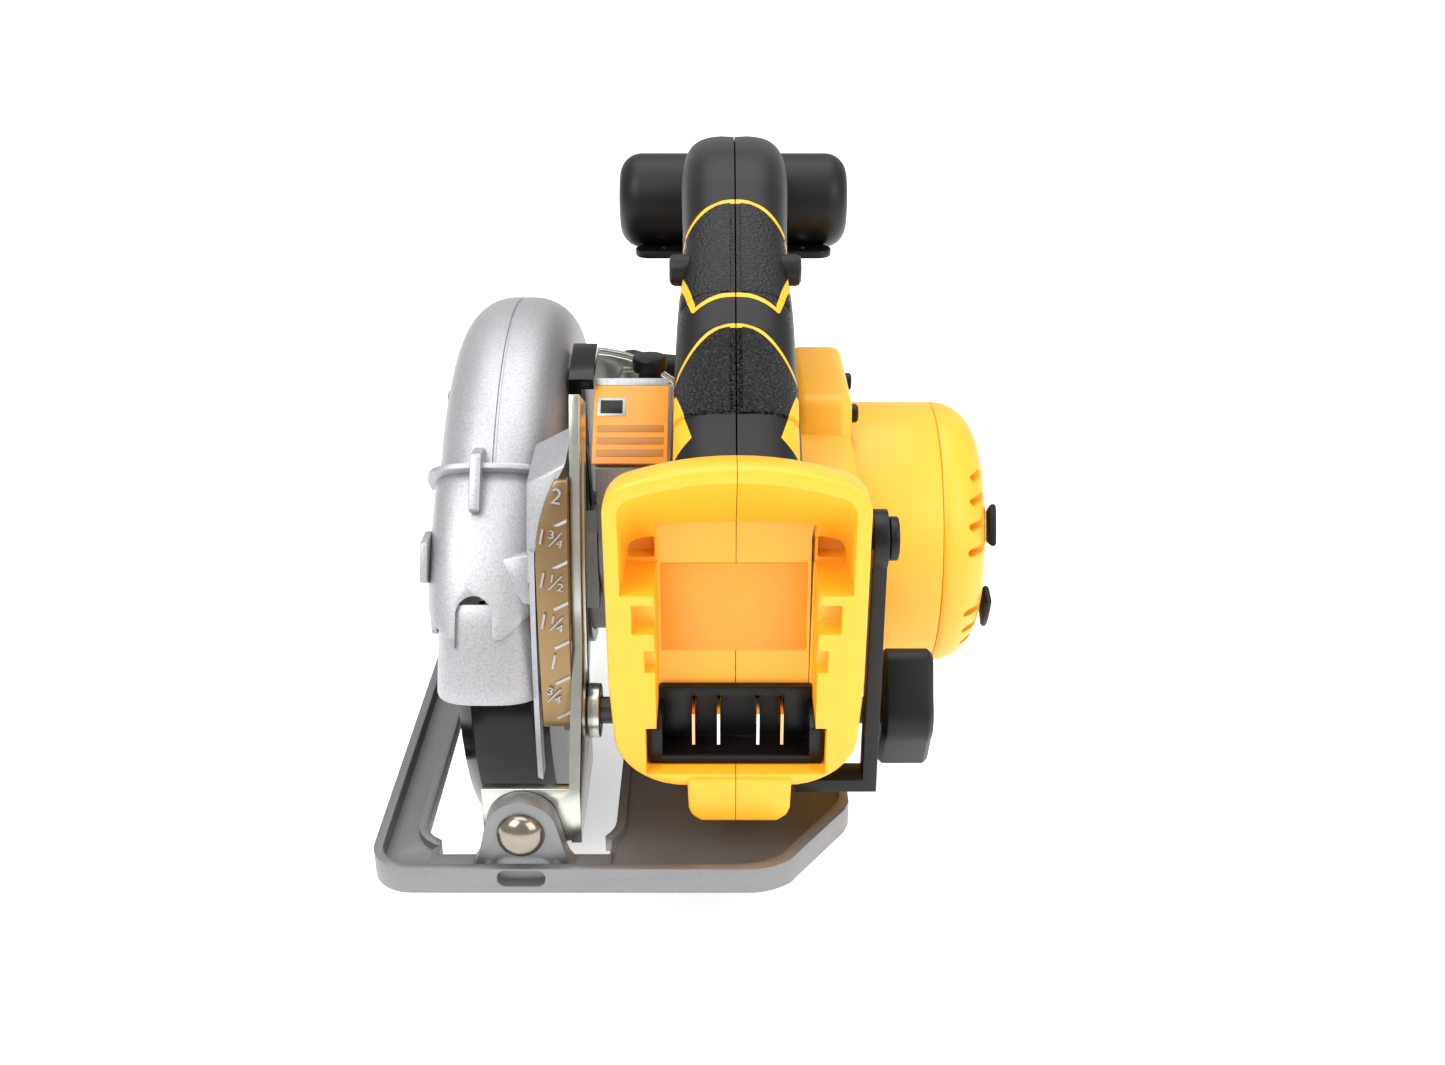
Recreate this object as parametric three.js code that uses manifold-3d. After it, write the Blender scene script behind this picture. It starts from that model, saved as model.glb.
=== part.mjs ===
// Cordless circular saw, blade on the left, seen by its user from behind.
// Millimetres. +X right, +Y forward (the way the saw cuts), +Z up.
// The origin is on the shoe's flat underside, in the handle's centre plane, level with the blade's arbor.
import * as THREE from "three";
import { mergeVertices } from "three/addons/utils/BufferGeometryUtils.js";
import Module from "manifold-3d";

const wasm = await Module();
wasm.setup();

// ---------------------------------------------------------------- driving dimensions
const GAP = 0.3; // between pieces that touch
const RUN = 0.6; // between a turning piece and its neighbour

const SHOE_LEFT = -102;
const SHOE_RIGHT = 33.4;
const SHOE_REAR = -132;
const SHOE_FRONT = 155;
const SHOE_PLATE = 3;
const SHOE_RIM_HEIGHT = 8;
const SHOE_RIM_WALL = 2.6;
const SHOE_CORNER = 12;
const OPENING_LEFT = -89.4;
const OPENING_RIGHT = -34.5;
const OPENING_REAR = -116;
const OPENING_FRONT = 112;
const LIP_WALL = 2.4;
const LIP_HEIGHT = 5;

const BEVEL_X = -59.3; // the tilt axis runs along Y through here
const BEVEL_Z = 16.5;
const EAR_THICK = 5.6;
const EAR_RADIUS = 10;
const RIVET_SHANK = 3.2;
const RIVET_HEAD = 6.7;
const SHEET = 3; // pressed steel brackets

const HINGE_Y = 117; // the depth hinge runs along X through here
const HINGE_Z = 28;
const HINGE_PIN = 3;
const DEPTH_SLOT_RADIUS = 206.5;
const LOCK_BOLT = 4;
const DEPTH_SLOT_HALF = LOCK_BOLT + RUN;
const BRACKET_HALF_WIDTH = 9.5;
const SCALE_THICK = 3.4;
const SCALE_START = 178; // degrees, the scale's lower end
const BRACKET_X = -46.2; // left face of the depth bracket
const DEPTH_TRAVEL = 21; // degrees

const BEVEL_LOCK_RADIUS = 47;
const BEVEL_LOCK_REST = 68; // degrees from +X
const BEVEL_TRAVEL = 45;

const ARBOR_Z = 36;
const BLADE_RADIUS = 82.5;
const BLADE_X = -69.7;
const BLADE_THICK = 1.6;
const BLADE_TEETH = 24;
const BORE = 8;

const GUARD_RADIUS = 92;
const GUARD_LEFT = -88;
const GUARD_RIGHT = -51.7;
const GUARD_WALL = 2.1;
const GUARD_ROUND = 12;
const GUARD_HUB_HOLE = 27.5;
const SWING_RADIUS = 87; // lower guard
const SWING_LEFT = -82.6;
const SWING_RIGHT = -55.8;
const SWING_WALL = 2;
const SWING_CHAMFER = 4.5;
const SWING_HUB = 26;
const NOSE_RADIUS = 21.4;

const CASE_LEFT = -42.3;
const CASE_RIGHT = -22.3;
const CASE_PLATE_RIGHT = -19.2;
const MOTOR_Y = -12;
const MOTOR_Z = 55;
const MOTOR_RADIUS = 43;
const MOTOR_WALL = 3;
const BARREL_START = 36.3;
const BARREL_END = 72;
const BUMPER_THICK = 2.3;
const CAP_END = 79;
const FAN_START = 54.6;
const FAN_END = 64;
const PINION_TEETH = 9;
const GEAR_TEETH = 36;
const GEAR_MODULE = 1;
const TOOTH_REACH = 0.35; // tooth height over the pitch circle, less the play

const PRESS_X = -29; // the spindle lock's button
const PRESS_Y = 30;
const PRESS_TOP = 102;
const PRESS_RADIUS = 4;

const BODY_LEFT = -18.9;
const BODY_RIGHT = 36;
const COLLAR_LEFT = 18;
const COLLAR_REAR = -62;
const BAY_HALF_WIDTH = 34.5;
const BAY_WALL = 3;
const BAY_FLOOR_Y = -99;
const BAY_REAR_TOP = -127;
const BAY_REAR_BOTTOM = -117;
const BAY_HOOD_FRONT = -108;
const BAY_TOP = 118;
const BAY_BOTTOM = 26;
const RAIL_DEPTH = 9;
const RAIL_INNER = 21.8;
const RAIL_TOP = 89;
const BLOCK_TOP = 48;

const HANDLE_HALF = 16.4;
const HANDLE_ROUND = 7.7;
const BUTTON_Y = -42;
const BUTTON_Z = 152;
const BUTTON_RADIUS = 4.6;
const POMMEL_HALF = 39;
const POMMEL_RADIUS = 16;
const POMMEL_Y = 56;
const POMMEL_Z = 150;

const LOCK_KNOB_LEFT = 42.3;
const LOCK_KNOB_WIDTH = 15;
const LOCK_Z = 33;
const LOCK_Y = HINGE_Y - Math.sqrt(DEPTH_SLOT_RADIUS ** 2 - (LOCK_Z - HINGE_Z) ** 2);

const HOOK_LEFT = 36.2;
const HOOK_THICK = 4;
const HOOK_WIDE = 9;
const HOOK_Y = -105;
const HOOK_PIVOT_Z = 96;
const HOOK_DROP = 78;

// ---------------------------------------------------------------- finishes
function finish(color, roughness, metalness) {
  return new THREE.MeshStandardMaterial({ color, roughness, metalness });
}
const YELLOW = finish(0xf5b420, 0.5, 0);
const BLACK = finish(0x1b1b1c, 0.6, 0);
const GLOSS_BLACK = finish(0x111112, 0.25, 0);
const CAST = finish(0xb4b6b8, 0.45, 0.7);
const ZINC = finish(0xc9ccc8, 0.3, 0.9);
const STEEL = finish(0x9a9a98, 0.3, 1);
const DARK_STEEL = finish(0x4a4b4d, 0.4, 0.8);
const COPPER = finish(0xb8754a, 0.3, 1);
const BRONZE = finish(0x9b7c4c, 0.4, 0.7);
const AMBER = finish(0xe59a2c, 0.6, 0);

// ---------------------------------------------------------------- making solids
function solid(geometry) {
  const bare = geometry.clone();
  bare.deleteAttribute("normal");
  bare.deleteAttribute("uv");
  const merged = mergeVertices(bare, 1e-4);
  const vertProperties = new Float32Array(merged.attributes.position.array);
  const triVerts = new Uint32Array(merged.index.array);
  const made = new wasm.Manifold(new wasm.Mesh({ numProp: 3, vertProperties, triVerts }));
  if (made.volume() > 0) return made;
  const flipped = triVerts.slice();
  for (let i = 0; i < flipped.length; i += 3) {
    flipped[i + 1] = triVerts[i + 2];
    flipped[i + 2] = triVerts[i + 1];
  }
  return new wasm.Manifold(new wasm.Mesh({ numProp: 3, vertProperties, triVerts: flipped }));
}

// Outlines are lists of [a, b]: (y, z) when extruded along x, (x, z) along y, (x, y) along z.
function prism(axis, outline, from, to, round = 0) {
  const shape = new THREE.Shape(outline.map(([a, b]) => new THREE.Vector2(a, b)));
  const geometry = new THREE.ExtrudeGeometry(shape, {
    depth: to - from - 2 * round,
    bevelEnabled: round > 0,
    bevelThickness: round,
    bevelSize: round,
    bevelOffset: -round,
    bevelSegments: round > 4 ? 3 : 1,
    curveSegments: 12,
  });
  geometry.translate(0, 0, round);
  if (axis === "x") {
    geometry.applyMatrix4(new THREE.Matrix4().set(0, 0, 1, from, 1, 0, 0, 0, 0, 1, 0, 0, 0, 0, 0, 1));
  } else if (axis === "y") {
    geometry.rotateX(Math.PI / 2);
    geometry.translate(0, to, 0);
  } else {
    geometry.translate(0, 0, from);
  }
  return solid(geometry);
}

function arc(a, b, radius, start, end, steps) {
  return Array.from({ length: steps + 1 }, (_, i) => {
    const t = THREE.MathUtils.degToRad(start + ((end - start) * i) / steps);
    return [a + radius * Math.cos(t), b + radius * Math.sin(t)];
  });
}

function circle(a, b, radius, sides = 24) {
  return arc(a, b, radius, 0, 360, sides).slice(0, sides);
}

function band(a, b, inner, outer, start, end, steps) {
  return [...arc(a, b, outer, start, end, steps), ...arc(a, b, inner, end, start, steps)];
}

function box(x0, x1, y0, y1, z0, z1) {
  const geometry = new THREE.BoxGeometry(x1 - x0, y1 - y0, z1 - z0);
  geometry.translate((x0 + x1) / 2, (y0 + y1) / 2, (z0 + z1) / 2);
  return solid(geometry);
}

function rod(axis, a, b, radius, from, to, sides = 24) {
  return prism(axis, circle(a, b, radius, sides), from, to);
}

// A profile of [radius, place along the axis] turned round an axis parallel to x or y.
function turned(axis, a, b, profile, sides = 32) {
  const geometry = new THREE.LatheGeometry(
    profile.map(([radius, along]) => new THREE.Vector2(radius, along)),
    sides,
  );
  if (axis === "x") {
    geometry.rotateZ(-Math.PI / 2);
    geometry.translate(0, a, b);
  } else {
    geometry.translate(a, 0, b);
  }
  return solid(geometry);
}

function roundedBox(x0, x1, y0, y1, radius, steps = 4) {
  return [
    ...arc(x0 + radius, y0 + radius, radius, 180, 270, steps),
    ...arc(x1 - radius, y0 + radius, radius, 270, 360, steps),
    ...arc(x1 - radius, y1 - radius, radius, 0, 90, steps),
    ...arc(x0 + radius, y1 - radius, radius, 90, 180, steps),
  ];
}

const saw = new THREE.Group();

function piece(name, made, material) {
  const { numProp, numVert, vertProperties, triVerts } = made.getMesh();
  const places = new Float32Array(numVert * 3);
  for (let i = 0; i < numVert; i += 1) {
    places.set(vertProperties.subarray(i * numProp, i * numProp + 3), i * 3);
  }
  const geometry = new THREE.BufferGeometry();
  geometry.setAttribute("position", new THREE.BufferAttribute(places, 3));
  geometry.setIndex(new THREE.BufferAttribute(new Uint32Array(triVerts), 1));
  geometry.computeVertexNormals();
  const mesh = new THREE.Mesh(geometry, material);
  mesh.name = name;
  saw.add(mesh);
}

// ---------------------------------------------------------------- shoe and its bevel pivots
function shoeOutline(inset) {
  const left = SHOE_LEFT + inset;
  const right = SHOE_RIGHT - inset;
  const rear = SHOE_REAR + inset;
  const front = SHOE_FRONT - inset;
  const corner = SHOE_CORNER - inset;
  return [
    ...arc(left + corner, rear + corner, corner, 180, 270, 5),
    [right - 30.3, rear],
    [right - 23, rear + 2.2],
    [right - 17.2, rear + 7.6],
    [right, rear + 31.7],
    ...arc(right - corner, front - corner, corner, 0, 90, 5),
    ...arc(left + corner, front - corner, corner, 90, 180, 5),
  ];
}

function earOutline(top) {
  const foot = SHOE_PLATE - 1;
  return [
    [BEVEL_X - 17, foot],
    [BEVEL_X + 17, foot],
    [BEVEL_X + 12, foot + 4],
    ...arc(BEVEL_X, top, EAR_RADIUS, 0, 180, 8),
    [BEVEL_X - 12, foot + 4],
  ];
}

const EAR_REAR = -127.2;
const EAR_FRONT = EAR_REAR + EAR_THICK;
const QUADRANT_REAR = 128.4;

function shoe() {
  const opening = roundedBox(OPENING_LEFT, OPENING_RIGHT, OPENING_REAR, OPENING_FRONT, 10);
  const lip = roundedBox(
    OPENING_LEFT - LIP_WALL,
    OPENING_RIGHT + LIP_WALL,
    OPENING_REAR - LIP_WALL,
    OPENING_FRONT + LIP_WALL,
    10 + LIP_WALL,
  );
  const notch = box(BEVEL_X - 25, BEVEL_X + 24, EAR_FRONT + GAP, OPENING_REAR + 2, -1, 40);
  return prism("z", shoeOutline(0), 0, SHOE_RIM_HEIGHT)
    .subtract(prism("z", shoeOutline(SHOE_RIM_WALL), SHOE_PLATE, SHOE_RIM_HEIGHT + 1))
    .add(prism("z", lip, 0, LIP_HEIGHT))
    .add(prism("y", earOutline(BEVEL_Z), EAR_REAR, EAR_FRONT))
    .subtract(prism("z", opening, -1, SHOE_RIM_HEIGHT + 30))
    .subtract(notch)
    .subtract(rod("y", BEVEL_X, BEVEL_Z, RIVET_SHANK + GAP, EAR_REAR - 1, EAR_FRONT + 1, 16));
}

function rearRivet() {
  const back = EAR_REAR - GAP;
  const front = EAR_FRONT + SHEET + 3 * GAP;
  return turned("y", BEVEL_X, BEVEL_Z, [
    [0, back - 4.6],
    [3.6, back - 4],
    [RIVET_HEAD - 0.7, back - 2],
    [RIVET_HEAD, back],
    [RIVET_SHANK, back],
    [RIVET_SHANK, front],
    [5, front],
    [5, front + 1.5],
    [0, front + 1.5],
  ], 20);
}

function bevelQuadrant() {
  const fan = [
    [BEVEL_X + 36, SHOE_PLATE + GAP],
    ...arc(BEVEL_X, BEVEL_Z, BEVEL_LOCK_RADIUS + 9, 50, 132, 10),
    [BEVEL_X - 30, SHOE_PLATE + GAP],
  ];
  const slot = band(
    BEVEL_X,
    BEVEL_Z,
    BEVEL_LOCK_RADIUS - 3.6,
    BEVEL_LOCK_RADIUS + 3.6,
    BEVEL_LOCK_REST - 4.4,
    BEVEL_LOCK_REST + BEVEL_TRAVEL + 4.4,
    10,
  );
  const front = QUADRANT_REAR + SHEET;
  return prism("y", fan, QUADRANT_REAR, front)
    .add(box(BEVEL_X - 30, BEVEL_X + 36, QUADRANT_REAR, 149, SHOE_PLATE + GAP, SHOE_PLATE + GAP + SHEET))
    .subtract(prism("y", slot, QUADRANT_REAR - 1, front + 1))
    .subtract(rod("y", BEVEL_X, BEVEL_Z, RIVET_SHANK + GAP, QUADRANT_REAR - 1, front + 1, 16));
}

function frontRivet() {
  const back = QUADRANT_REAR - SHEET - 3 * GAP;
  const front = QUADRANT_REAR + SHEET + GAP;
  return turned("y", BEVEL_X, BEVEL_Z, [
    [0, back - 1.6],
    [5, back - 1.6],
    [5, back],
    [RIVET_SHANK, back],
    [RIVET_SHANK, front],
    [RIVET_HEAD, front],
    [RIVET_HEAD - 0.7, front + 2],
    [3.6, front + 4],
    [0, front + 4.6],
  ], 20);
}

// ---------------------------------------------------------------- tilting frame
function depthBracket() {
  const right = BRACKET_X + SHEET;
  const outer = DEPTH_SLOT_RADIUS + BRACKET_HALF_WIDTH;
  const inner = DEPTH_SLOT_RADIUS - BRACKET_HALF_WIDTH;
  const flangeRear = EAR_FRONT + GAP;
  const outline = [
    [flangeRear, 9],
    [flangeRear, 27],
    ...arc(HINGE_Y, HINGE_Z, outer, 172, 153, 6),
    ...arc(HINGE_Y, HINGE_Z, inner, 153, 178, 6),
    [HINGE_Y - inner, 9],
  ];
  const slot = band(
    HINGE_Y,
    HINGE_Z,
    DEPTH_SLOT_RADIUS - DEPTH_SLOT_HALF,
    DEPTH_SLOT_RADIUS + DEPTH_SLOT_HALF,
    180.2,
    177.4 - DEPTH_TRAVEL,
    10,
  );
  const flange = [
    [BRACKET_X + 1, 10],
    [BRACKET_X + 1, 27],
    [BEVEL_X - 19, 27],
    [BEVEL_X - 22, 24],
    [BEVEL_X - 14, 9],
    [BEVEL_X, 6.5],
    [BEVEL_X + 9, 9],
  ];
  return prism("x", outline, BRACKET_X, right)
    .add(prism("y", flange, flangeRear, flangeRear + SHEET))
    .subtract(prism("x", slot, BRACKET_X - 1, right + 1))
    .subtract(rod("y", BEVEL_X, BEVEL_Z, RIVET_SHANK + GAP, flangeRear - 1, flangeRear + SHEET + 1, 16));
}

const FRONT_PLATE_FRONT = QUADRANT_REAR - GAP;
const FRONT_PLATE_REAR = FRONT_PLATE_FRONT - SHEET;
const EARS = [
  [BEVEL_X - 13.7, BEVEL_X - 10.2],
  [BEVEL_X + 9.3, BEVEL_X + 12.8],
];

function frontBracket() {
  const frontPlateBore = rod(
    "y", BEVEL_X, BEVEL_Z, RIVET_SHANK + GAP,
    FRONT_PLATE_REAR - 1, FRONT_PLATE_FRONT + 1, 16,
  );
  const plate = [
    ...arc(BEVEL_X, BEVEL_Z, 12, 200, 340, 8),
    ...arc(BEVEL_X, BEVEL_Z, BEVEL_LOCK_RADIUS + 8, 50, 110, 8),
  ];
  let made = prism("y", plate, FRONT_PLATE_REAR, FRONT_PLATE_FRONT);
  for (const [left, right] of EARS) {
    const ear = [
      [FRONT_PLATE_REAR + 1, HINGE_Z - 7],
      [FRONT_PLATE_REAR + 1, HINGE_Z + 10],
      ...arc(HINGE_Y, HINGE_Z, 7, 90, 270, 6),
    ];
    made = made.add(prism("x", ear, left, right));
  }
  const lock = arc(BEVEL_X, BEVEL_Z, BEVEL_LOCK_RADIUS, BEVEL_LOCK_REST, BEVEL_LOCK_REST, 1)[0];
  return made
    .subtract(rod("x", HINGE_Y, HINGE_Z, HINGE_PIN + GAP, EARS[0][0] - 1, EARS[1][1] + 1, 16))
    .subtract(rod("y", lock[0], lock[1], 3 + GAP, FRONT_PLATE_REAR - 1, FRONT_PLATE_FRONT + 1, 16))
    .subtract(frontPlateBore);
}

function hingePin() {
  return rod("x", HINGE_Y, HINGE_Z, HINGE_PIN, EARS[0][0] - 1.5, EARS[1][1] + 1.5, 16)
    .add(rod("x", HINGE_Y, HINGE_Z, 5, EARS[1][1] + GAP, EARS[1][1] + 2.3, 16));
}

function bevelLock() {
  const [[x, z]] = arc(BEVEL_X, BEVEL_Z, BEVEL_LOCK_RADIUS, BEVEL_LOCK_REST, BEVEL_LOCK_REST, 1);
  const front = QUADRANT_REAR + SHEET + GAP;
  const bolt = rod("y", x, z, 3, FRONT_PLATE_REAR - 1, front + 9, 16)
    .add(rod("y", x, z, 5.6, FRONT_PLATE_REAR - 4, FRONT_PLATE_REAR - GAP, 6))
    .add(rod("y", x, z, 7, front, front + 2, 20));
  piece("bevel_lock_bolt", bolt, ZINC);
  const lever = prism("y", [
    ...arc(x, z, 8, 60, 300, 10),
    [x + 34, z - 4],
    [x + 36, z],
    [x + 34, z + 4],
  ], front + 2 + GAP, front + 12, 2).subtract(rod("y", x, z, 3 + GAP, front, front + 9.4, 16));
  piece("bevel_lock_lever", lever, BLACK);
}

// ---------------------------------------------------------------- guards and blade
// The upper guard's tunnel section, turned round the arbor.
function tunnel(radius, left, right, round) {
  return turned("x", 0, ARBOR_Z, [
    [0, left],
    [radius - round, left],
    ...arc(radius - round, left + round, round, 300, 360, 3),
    ...arc(radius - round, right - round, round, 0, 60, 3),
    [radius - round, right],
    [0, right],
  ], 56);
}

function upperGuard() {
  const lowerEdge = [
    [-130, 52],
    [-60, 52],
    [-40, 30],
    [130, 30],
    [130, -80],
    [-130, -80],
  ];
  const cavity = tunnel(
    GUARD_RADIUS - GUARD_WALL,
    GUARD_LEFT + GUARD_WALL,
    GUARD_RIGHT - GUARD_WALL,
    GUARD_ROUND - GUARD_WALL,
  );
  const lug = prism("x", [
    [84, 60],
    [84, 24],
    ...arc(HINGE_Y, HINGE_Z, 7, 270, 450, 6),
    [100, 52],
  ], EARS[0][1] + RUN, GUARD_RIGHT - 0.6).subtract(cavity);
  const pad = box(GUARD_RIGHT - 1, CASE_LEFT - GAP, -46, -29, 44, 70);
  const chuteWindow = box(GUARD_LEFT + 6, GUARD_RIGHT - 6, -110, -70, 40, 96);
  return tunnel(GUARD_RADIUS, GUARD_LEFT, GUARD_RIGHT, GUARD_ROUND)
    .subtract(cavity)
    .subtract(prism("x", lowerEdge, GUARD_LEFT - 1, GUARD_RIGHT + 1))
    .add(lug)
    .add(pad)
    .subtract(rod("x", 0, ARBOR_Z, GUARD_HUB_HOLE, GUARD_RIGHT - 8, CASE_LEFT, 32))
    .subtract(rod("x", HINGE_Y, HINGE_Z, HINGE_PIN + GAP, -90, -40, 16))
    .subtract(chuteWindow);
}

const CHUTE_LEFT = -86;
const CHUTE_RIGHT = -54.6;
const CHUTE_WALL = 2;

function chuteShell(top, bottom, left, right) {
  const wedge = (inset) => [
    [top[0] + 14, top[1] + 4 + inset],
    [top[0] + inset, top[1] - inset * 0.4],
    [bottom[0] + inset, bottom[1] - inset * 2],
    [bottom[0] + 24, bottom[1] - inset * 2],
  ];
  return prism("x", wedge(0), left, right, 1.5)
    .subtract(prism("x", wedge(CHUTE_WALL), left + CHUTE_WALL, right - CHUTE_WALL))
    .subtract(rod("x", 0, ARBOR_Z, GUARD_RADIUS + GAP, left - 1, right + 1, 56));
}

function dustChute() {
  const arch = rod("y", (CHUTE_LEFT + CHUTE_RIGHT) / 2, 56, 8, -120, -90, 20);
  const flange = [[-77.5, 104], [-79.5, 99.5], [-70, 93], [-60, 100], [-62, 110]];
  const ring = prism("x", flange, CHUTE_LEFT - 1, CHUTE_RIGHT + 0.6)
    .subtract(rod("x", 0, ARBOR_Z, GUARD_RADIUS + GAP, CHUTE_LEFT - 2, CHUTE_RIGHT + 2, 56));
  return chuteShell([-74, 103], [-100.5, 57], CHUTE_LEFT, CHUTE_RIGHT)
    .add(ring)
    .subtract(arch)
    .subtract(box(CHUTE_LEFT + CHUTE_WALL, CHUTE_RIGHT - CHUTE_WALL, -74, -60, 80, 100));
}

function chuteLiner() {
  const outer = [[-99, 56.5], [-104.5, 46], [-80, 46], [-80, 56.5]];
  const inner = [[-96.5, 58], [-102.5, 44], [-80, 44], [-80, 58]];
  return prism("x", outer, CHUTE_LEFT + 2.4, CHUTE_RIGHT - 2.4)
    .subtract(prism("x", inner, CHUTE_LEFT + 4.4, CHUTE_RIGHT - 4.4))
    .subtract(rod("x", 0, ARBOR_Z, GUARD_RADIUS + GAP, -100, -40, 56));
}

function depthScale() {
  const inner = DEPTH_SLOT_RADIUS + BRACKET_HALF_WIDTH + 1;
  const end = SCALE_START - DEPTH_TRAVEL;
  const curve = band(HINGE_Y, HINGE_Z, inner, inner + SCALE_THICK, SCALE_START, end, 10);
  return prism("x", curve, CHUTE_RIGHT + 0.9, BRACKET_X - RUN);
}

// A drum with its two rims cut off at an angle, turned round the arbor.
function drum(inset) {
  const radius = SWING_RADIUS - inset;
  const left = SWING_LEFT + inset;
  const right = SWING_RIGHT - inset;
  return turned("x", 0, ARBOR_Z, [
    [0, left],
    [radius - SWING_CHAMFER, left],
    [radius, left + SWING_CHAMFER],
    [radius, right - SWING_CHAMFER],
    [radius - SWING_CHAMFER, right],
    [0, right],
  ], 56);
}

function lowerGuard() {
  const kept = [
    [-120, ARBOR_Z + 6],
    [-SWING_HUB, ARBOR_Z + 4],
    [0, ARBOR_Z + SWING_HUB],
    [SWING_HUB, ARBOR_Z + 4],
    [120, ARBOR_Z - 3],
    [120, -100],
    [-120, -100],
  ];
  return drum(0)
    .subtract(drum(SWING_WALL))
    .intersect(prism("x", kept, SWING_LEFT - 1, SWING_RIGHT + 1))
    .subtract(rod("x", 0, ARBOR_Z, 34, SWING_LEFT - 1, SWING_RIGHT - SWING_WALL - 1, 32))
    .add(rod("x", 0, ARBOR_Z, SWING_HUB, SWING_RIGHT - SWING_WALL, -51.4, 32))
    .subtract(rod("x", 0, ARBOR_Z, NOSE_RADIUS + RUN, -70, -40, 32));
}

const LEVER_ANGLE = 105; // degrees from +Y, at rest

function guardLever() {
  const arm = [
    ...arc(0, ARBOR_Z, SWING_HUB, LEVER_ANGLE - 18, LEVER_ANGLE + 18, 4).reverse(),
    ...arc(0, ARBOR_Z, 82, LEVER_ANGLE - 4, LEVER_ANGLE + 4, 2),
  ];
  return prism("x", circle(0, ARBOR_Z, SWING_HUB, 32), -51.1, -47.6)
    .add(prism("x", arm, -51.1, -47.6))
    .add(prism("x", band(0, ARBOR_Z, 79, 83, LEVER_ANGLE - 10, LEVER_ANGLE + 5, 4), -51.1, CASE_LEFT - 1.2))
    .subtract(rod("x", 0, ARBOR_Z, NOSE_RADIUS + RUN, -70, -40, 32));
}

function bladeOutline() {
  const points = [];
  for (let i = 0; i < BLADE_TEETH; i += 1) {
    const pitch = 360 / BLADE_TEETH;
    const tip = i * pitch;
    points.push(arc(0, ARBOR_Z, BLADE_RADIUS - 7, tip - pitch * 0.12, tip, 1)[0]);
    points.push(arc(0, ARBOR_Z, BLADE_RADIUS, tip, tip, 1)[0]);
    points.push(arc(0, ARBOR_Z, BLADE_RADIUS - 1, tip + pitch * 0.3, tip, 1)[0]);
    points.push(arc(0, ARBOR_Z, BLADE_RADIUS - 4.4, tip + pitch * 0.66, tip, 1)[0]);
  }
  return points;
}

const BLADE_LEFT = BLADE_X - BLADE_THICK / 2;
const BLADE_RIGHT = BLADE_X + BLADE_THICK / 2;

function bladeStack() {
  const blade = prism("x", bladeOutline(), BLADE_LEFT, BLADE_RIGHT)
    .subtract(rod("x", 0, ARBOR_Z, BORE + 0.1, -80, -60, 24));
  piece("blade", blade, STEEL);
  const spindle = turned("x", 0, ARBOR_Z, [
    [3.2, BLADE_LEFT - 2],
    [BORE - 0.2, BLADE_LEFT - 2],
    [BORE - 0.2, BLADE_RIGHT + 7],
    [BORE - 0.2, CASE_PLATE_RIGHT - 5],
    [4, CASE_PLATE_RIGHT - 5],
    [4, CASE_PLATE_RIGHT - 1],
    [0, CASE_PLATE_RIGHT - 1],
    [0, BLADE_LEFT + 14],
    [3.2, BLADE_LEFT + 14],
    [3.2, BLADE_LEFT - 2],
  ], 24);
  piece("spindle", spindle, DARK_STEEL);
  const washer = (from, to, radius) =>
    rod("x", 0, ARBOR_Z, radius, from, to, 28)
      .subtract(rod("x", 0, ARBOR_Z, BORE + 0.1, from - 1, to + 1, 24));
  const flangeHub = washer(BLADE_RIGHT + 4, BLADE_RIGHT + 7, 12);
  piece("inner_flange", washer(BLADE_RIGHT + GAP, BLADE_RIGHT + 4.3, 17).add(flangeHub), STEEL);
  piece("outer_flange", washer(BLADE_LEFT - 3.2, BLADE_LEFT - GAP, 17), STEEL);
  const bolt = rod("x", 0, ARBOR_Z, 2.9, BLADE_LEFT - 4, BLADE_LEFT + 12, 12)
    .add(rod("x", 0, ARBOR_Z, 12, BLADE_LEFT - 5, BLADE_LEFT - 3.5, 28))
    .add(rod("x", 0, ARBOR_Z, 7.4, BLADE_LEFT - 10, BLADE_LEFT - 4.5, 6));
  piece("blade_bolt", bolt, ZINC);
  const gear = prism("x", gearOutline(0, ARBOR_Z, GEAR_TEETH), CASE_LEFT + 9, CASE_RIGHT - 3)
    .subtract(rod("x", 0, ARBOR_Z, BORE + 0.1, CASE_LEFT, CASE_RIGHT, 24));
  piece("drive_gear", gear, STEEL);
}

function gearOutline(y, z, teeth) {
  const pitch = (teeth * GEAR_MODULE) / 2;
  const points = [];
  for (let i = 0; i < teeth; i += 1) {
    const step = 360 / teeth;
    const root = pitch - 1.2;
    const tip = pitch - TOOTH_REACH;
    for (const [share, radius] of [[0, root], [0.3, root], [0.45, tip], [0.75, tip]]) {
      points.push(arc(y, z, radius, (i + share) * step, 0, 1)[0]);
    }
  }
  return points;
}

// ---------------------------------------------------------------- gear case
function caseOutline(inset) {
  return [
    [-47 + inset, 58],
    [-47 + inset, 92 - inset * 0.4],
    [-22 + inset * 0.4, 110 - inset],
    [-2, 102 - inset],
    [46 - inset * 0.4, 86 - inset],
    [58 - inset, 78 - inset * 0.4],
    [58 - inset, 34 + inset * 0.4],
    [40, 13 + inset],
    [-14, 13 + inset],
  ];
}

function gearCase() {
  const nose = rod("x", 0, ARBOR_Z, NOSE_RADIUS, -55.4, CASE_LEFT + 2, 32);
  return prism("x", caseOutline(0), CASE_LEFT, CASE_RIGHT)
    .subtract(prism("x", caseOutline(3), CASE_LEFT + 3.4, CASE_RIGHT + 1))
    .add(nose)
    .subtract(rod("x", 0, ARBOR_Z, 16 + GAP, -49, CASE_RIGHT, 32))
    .subtract(rod("x", 0, ARBOR_Z, BORE + RUN, -60, CASE_RIGHT, 24))
    .subtract(rod("z", PRESS_X, PRESS_Y, PRESS_RADIUS + GAP, PRESS_TOP - 24, PRESS_TOP, 16));
}

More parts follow.
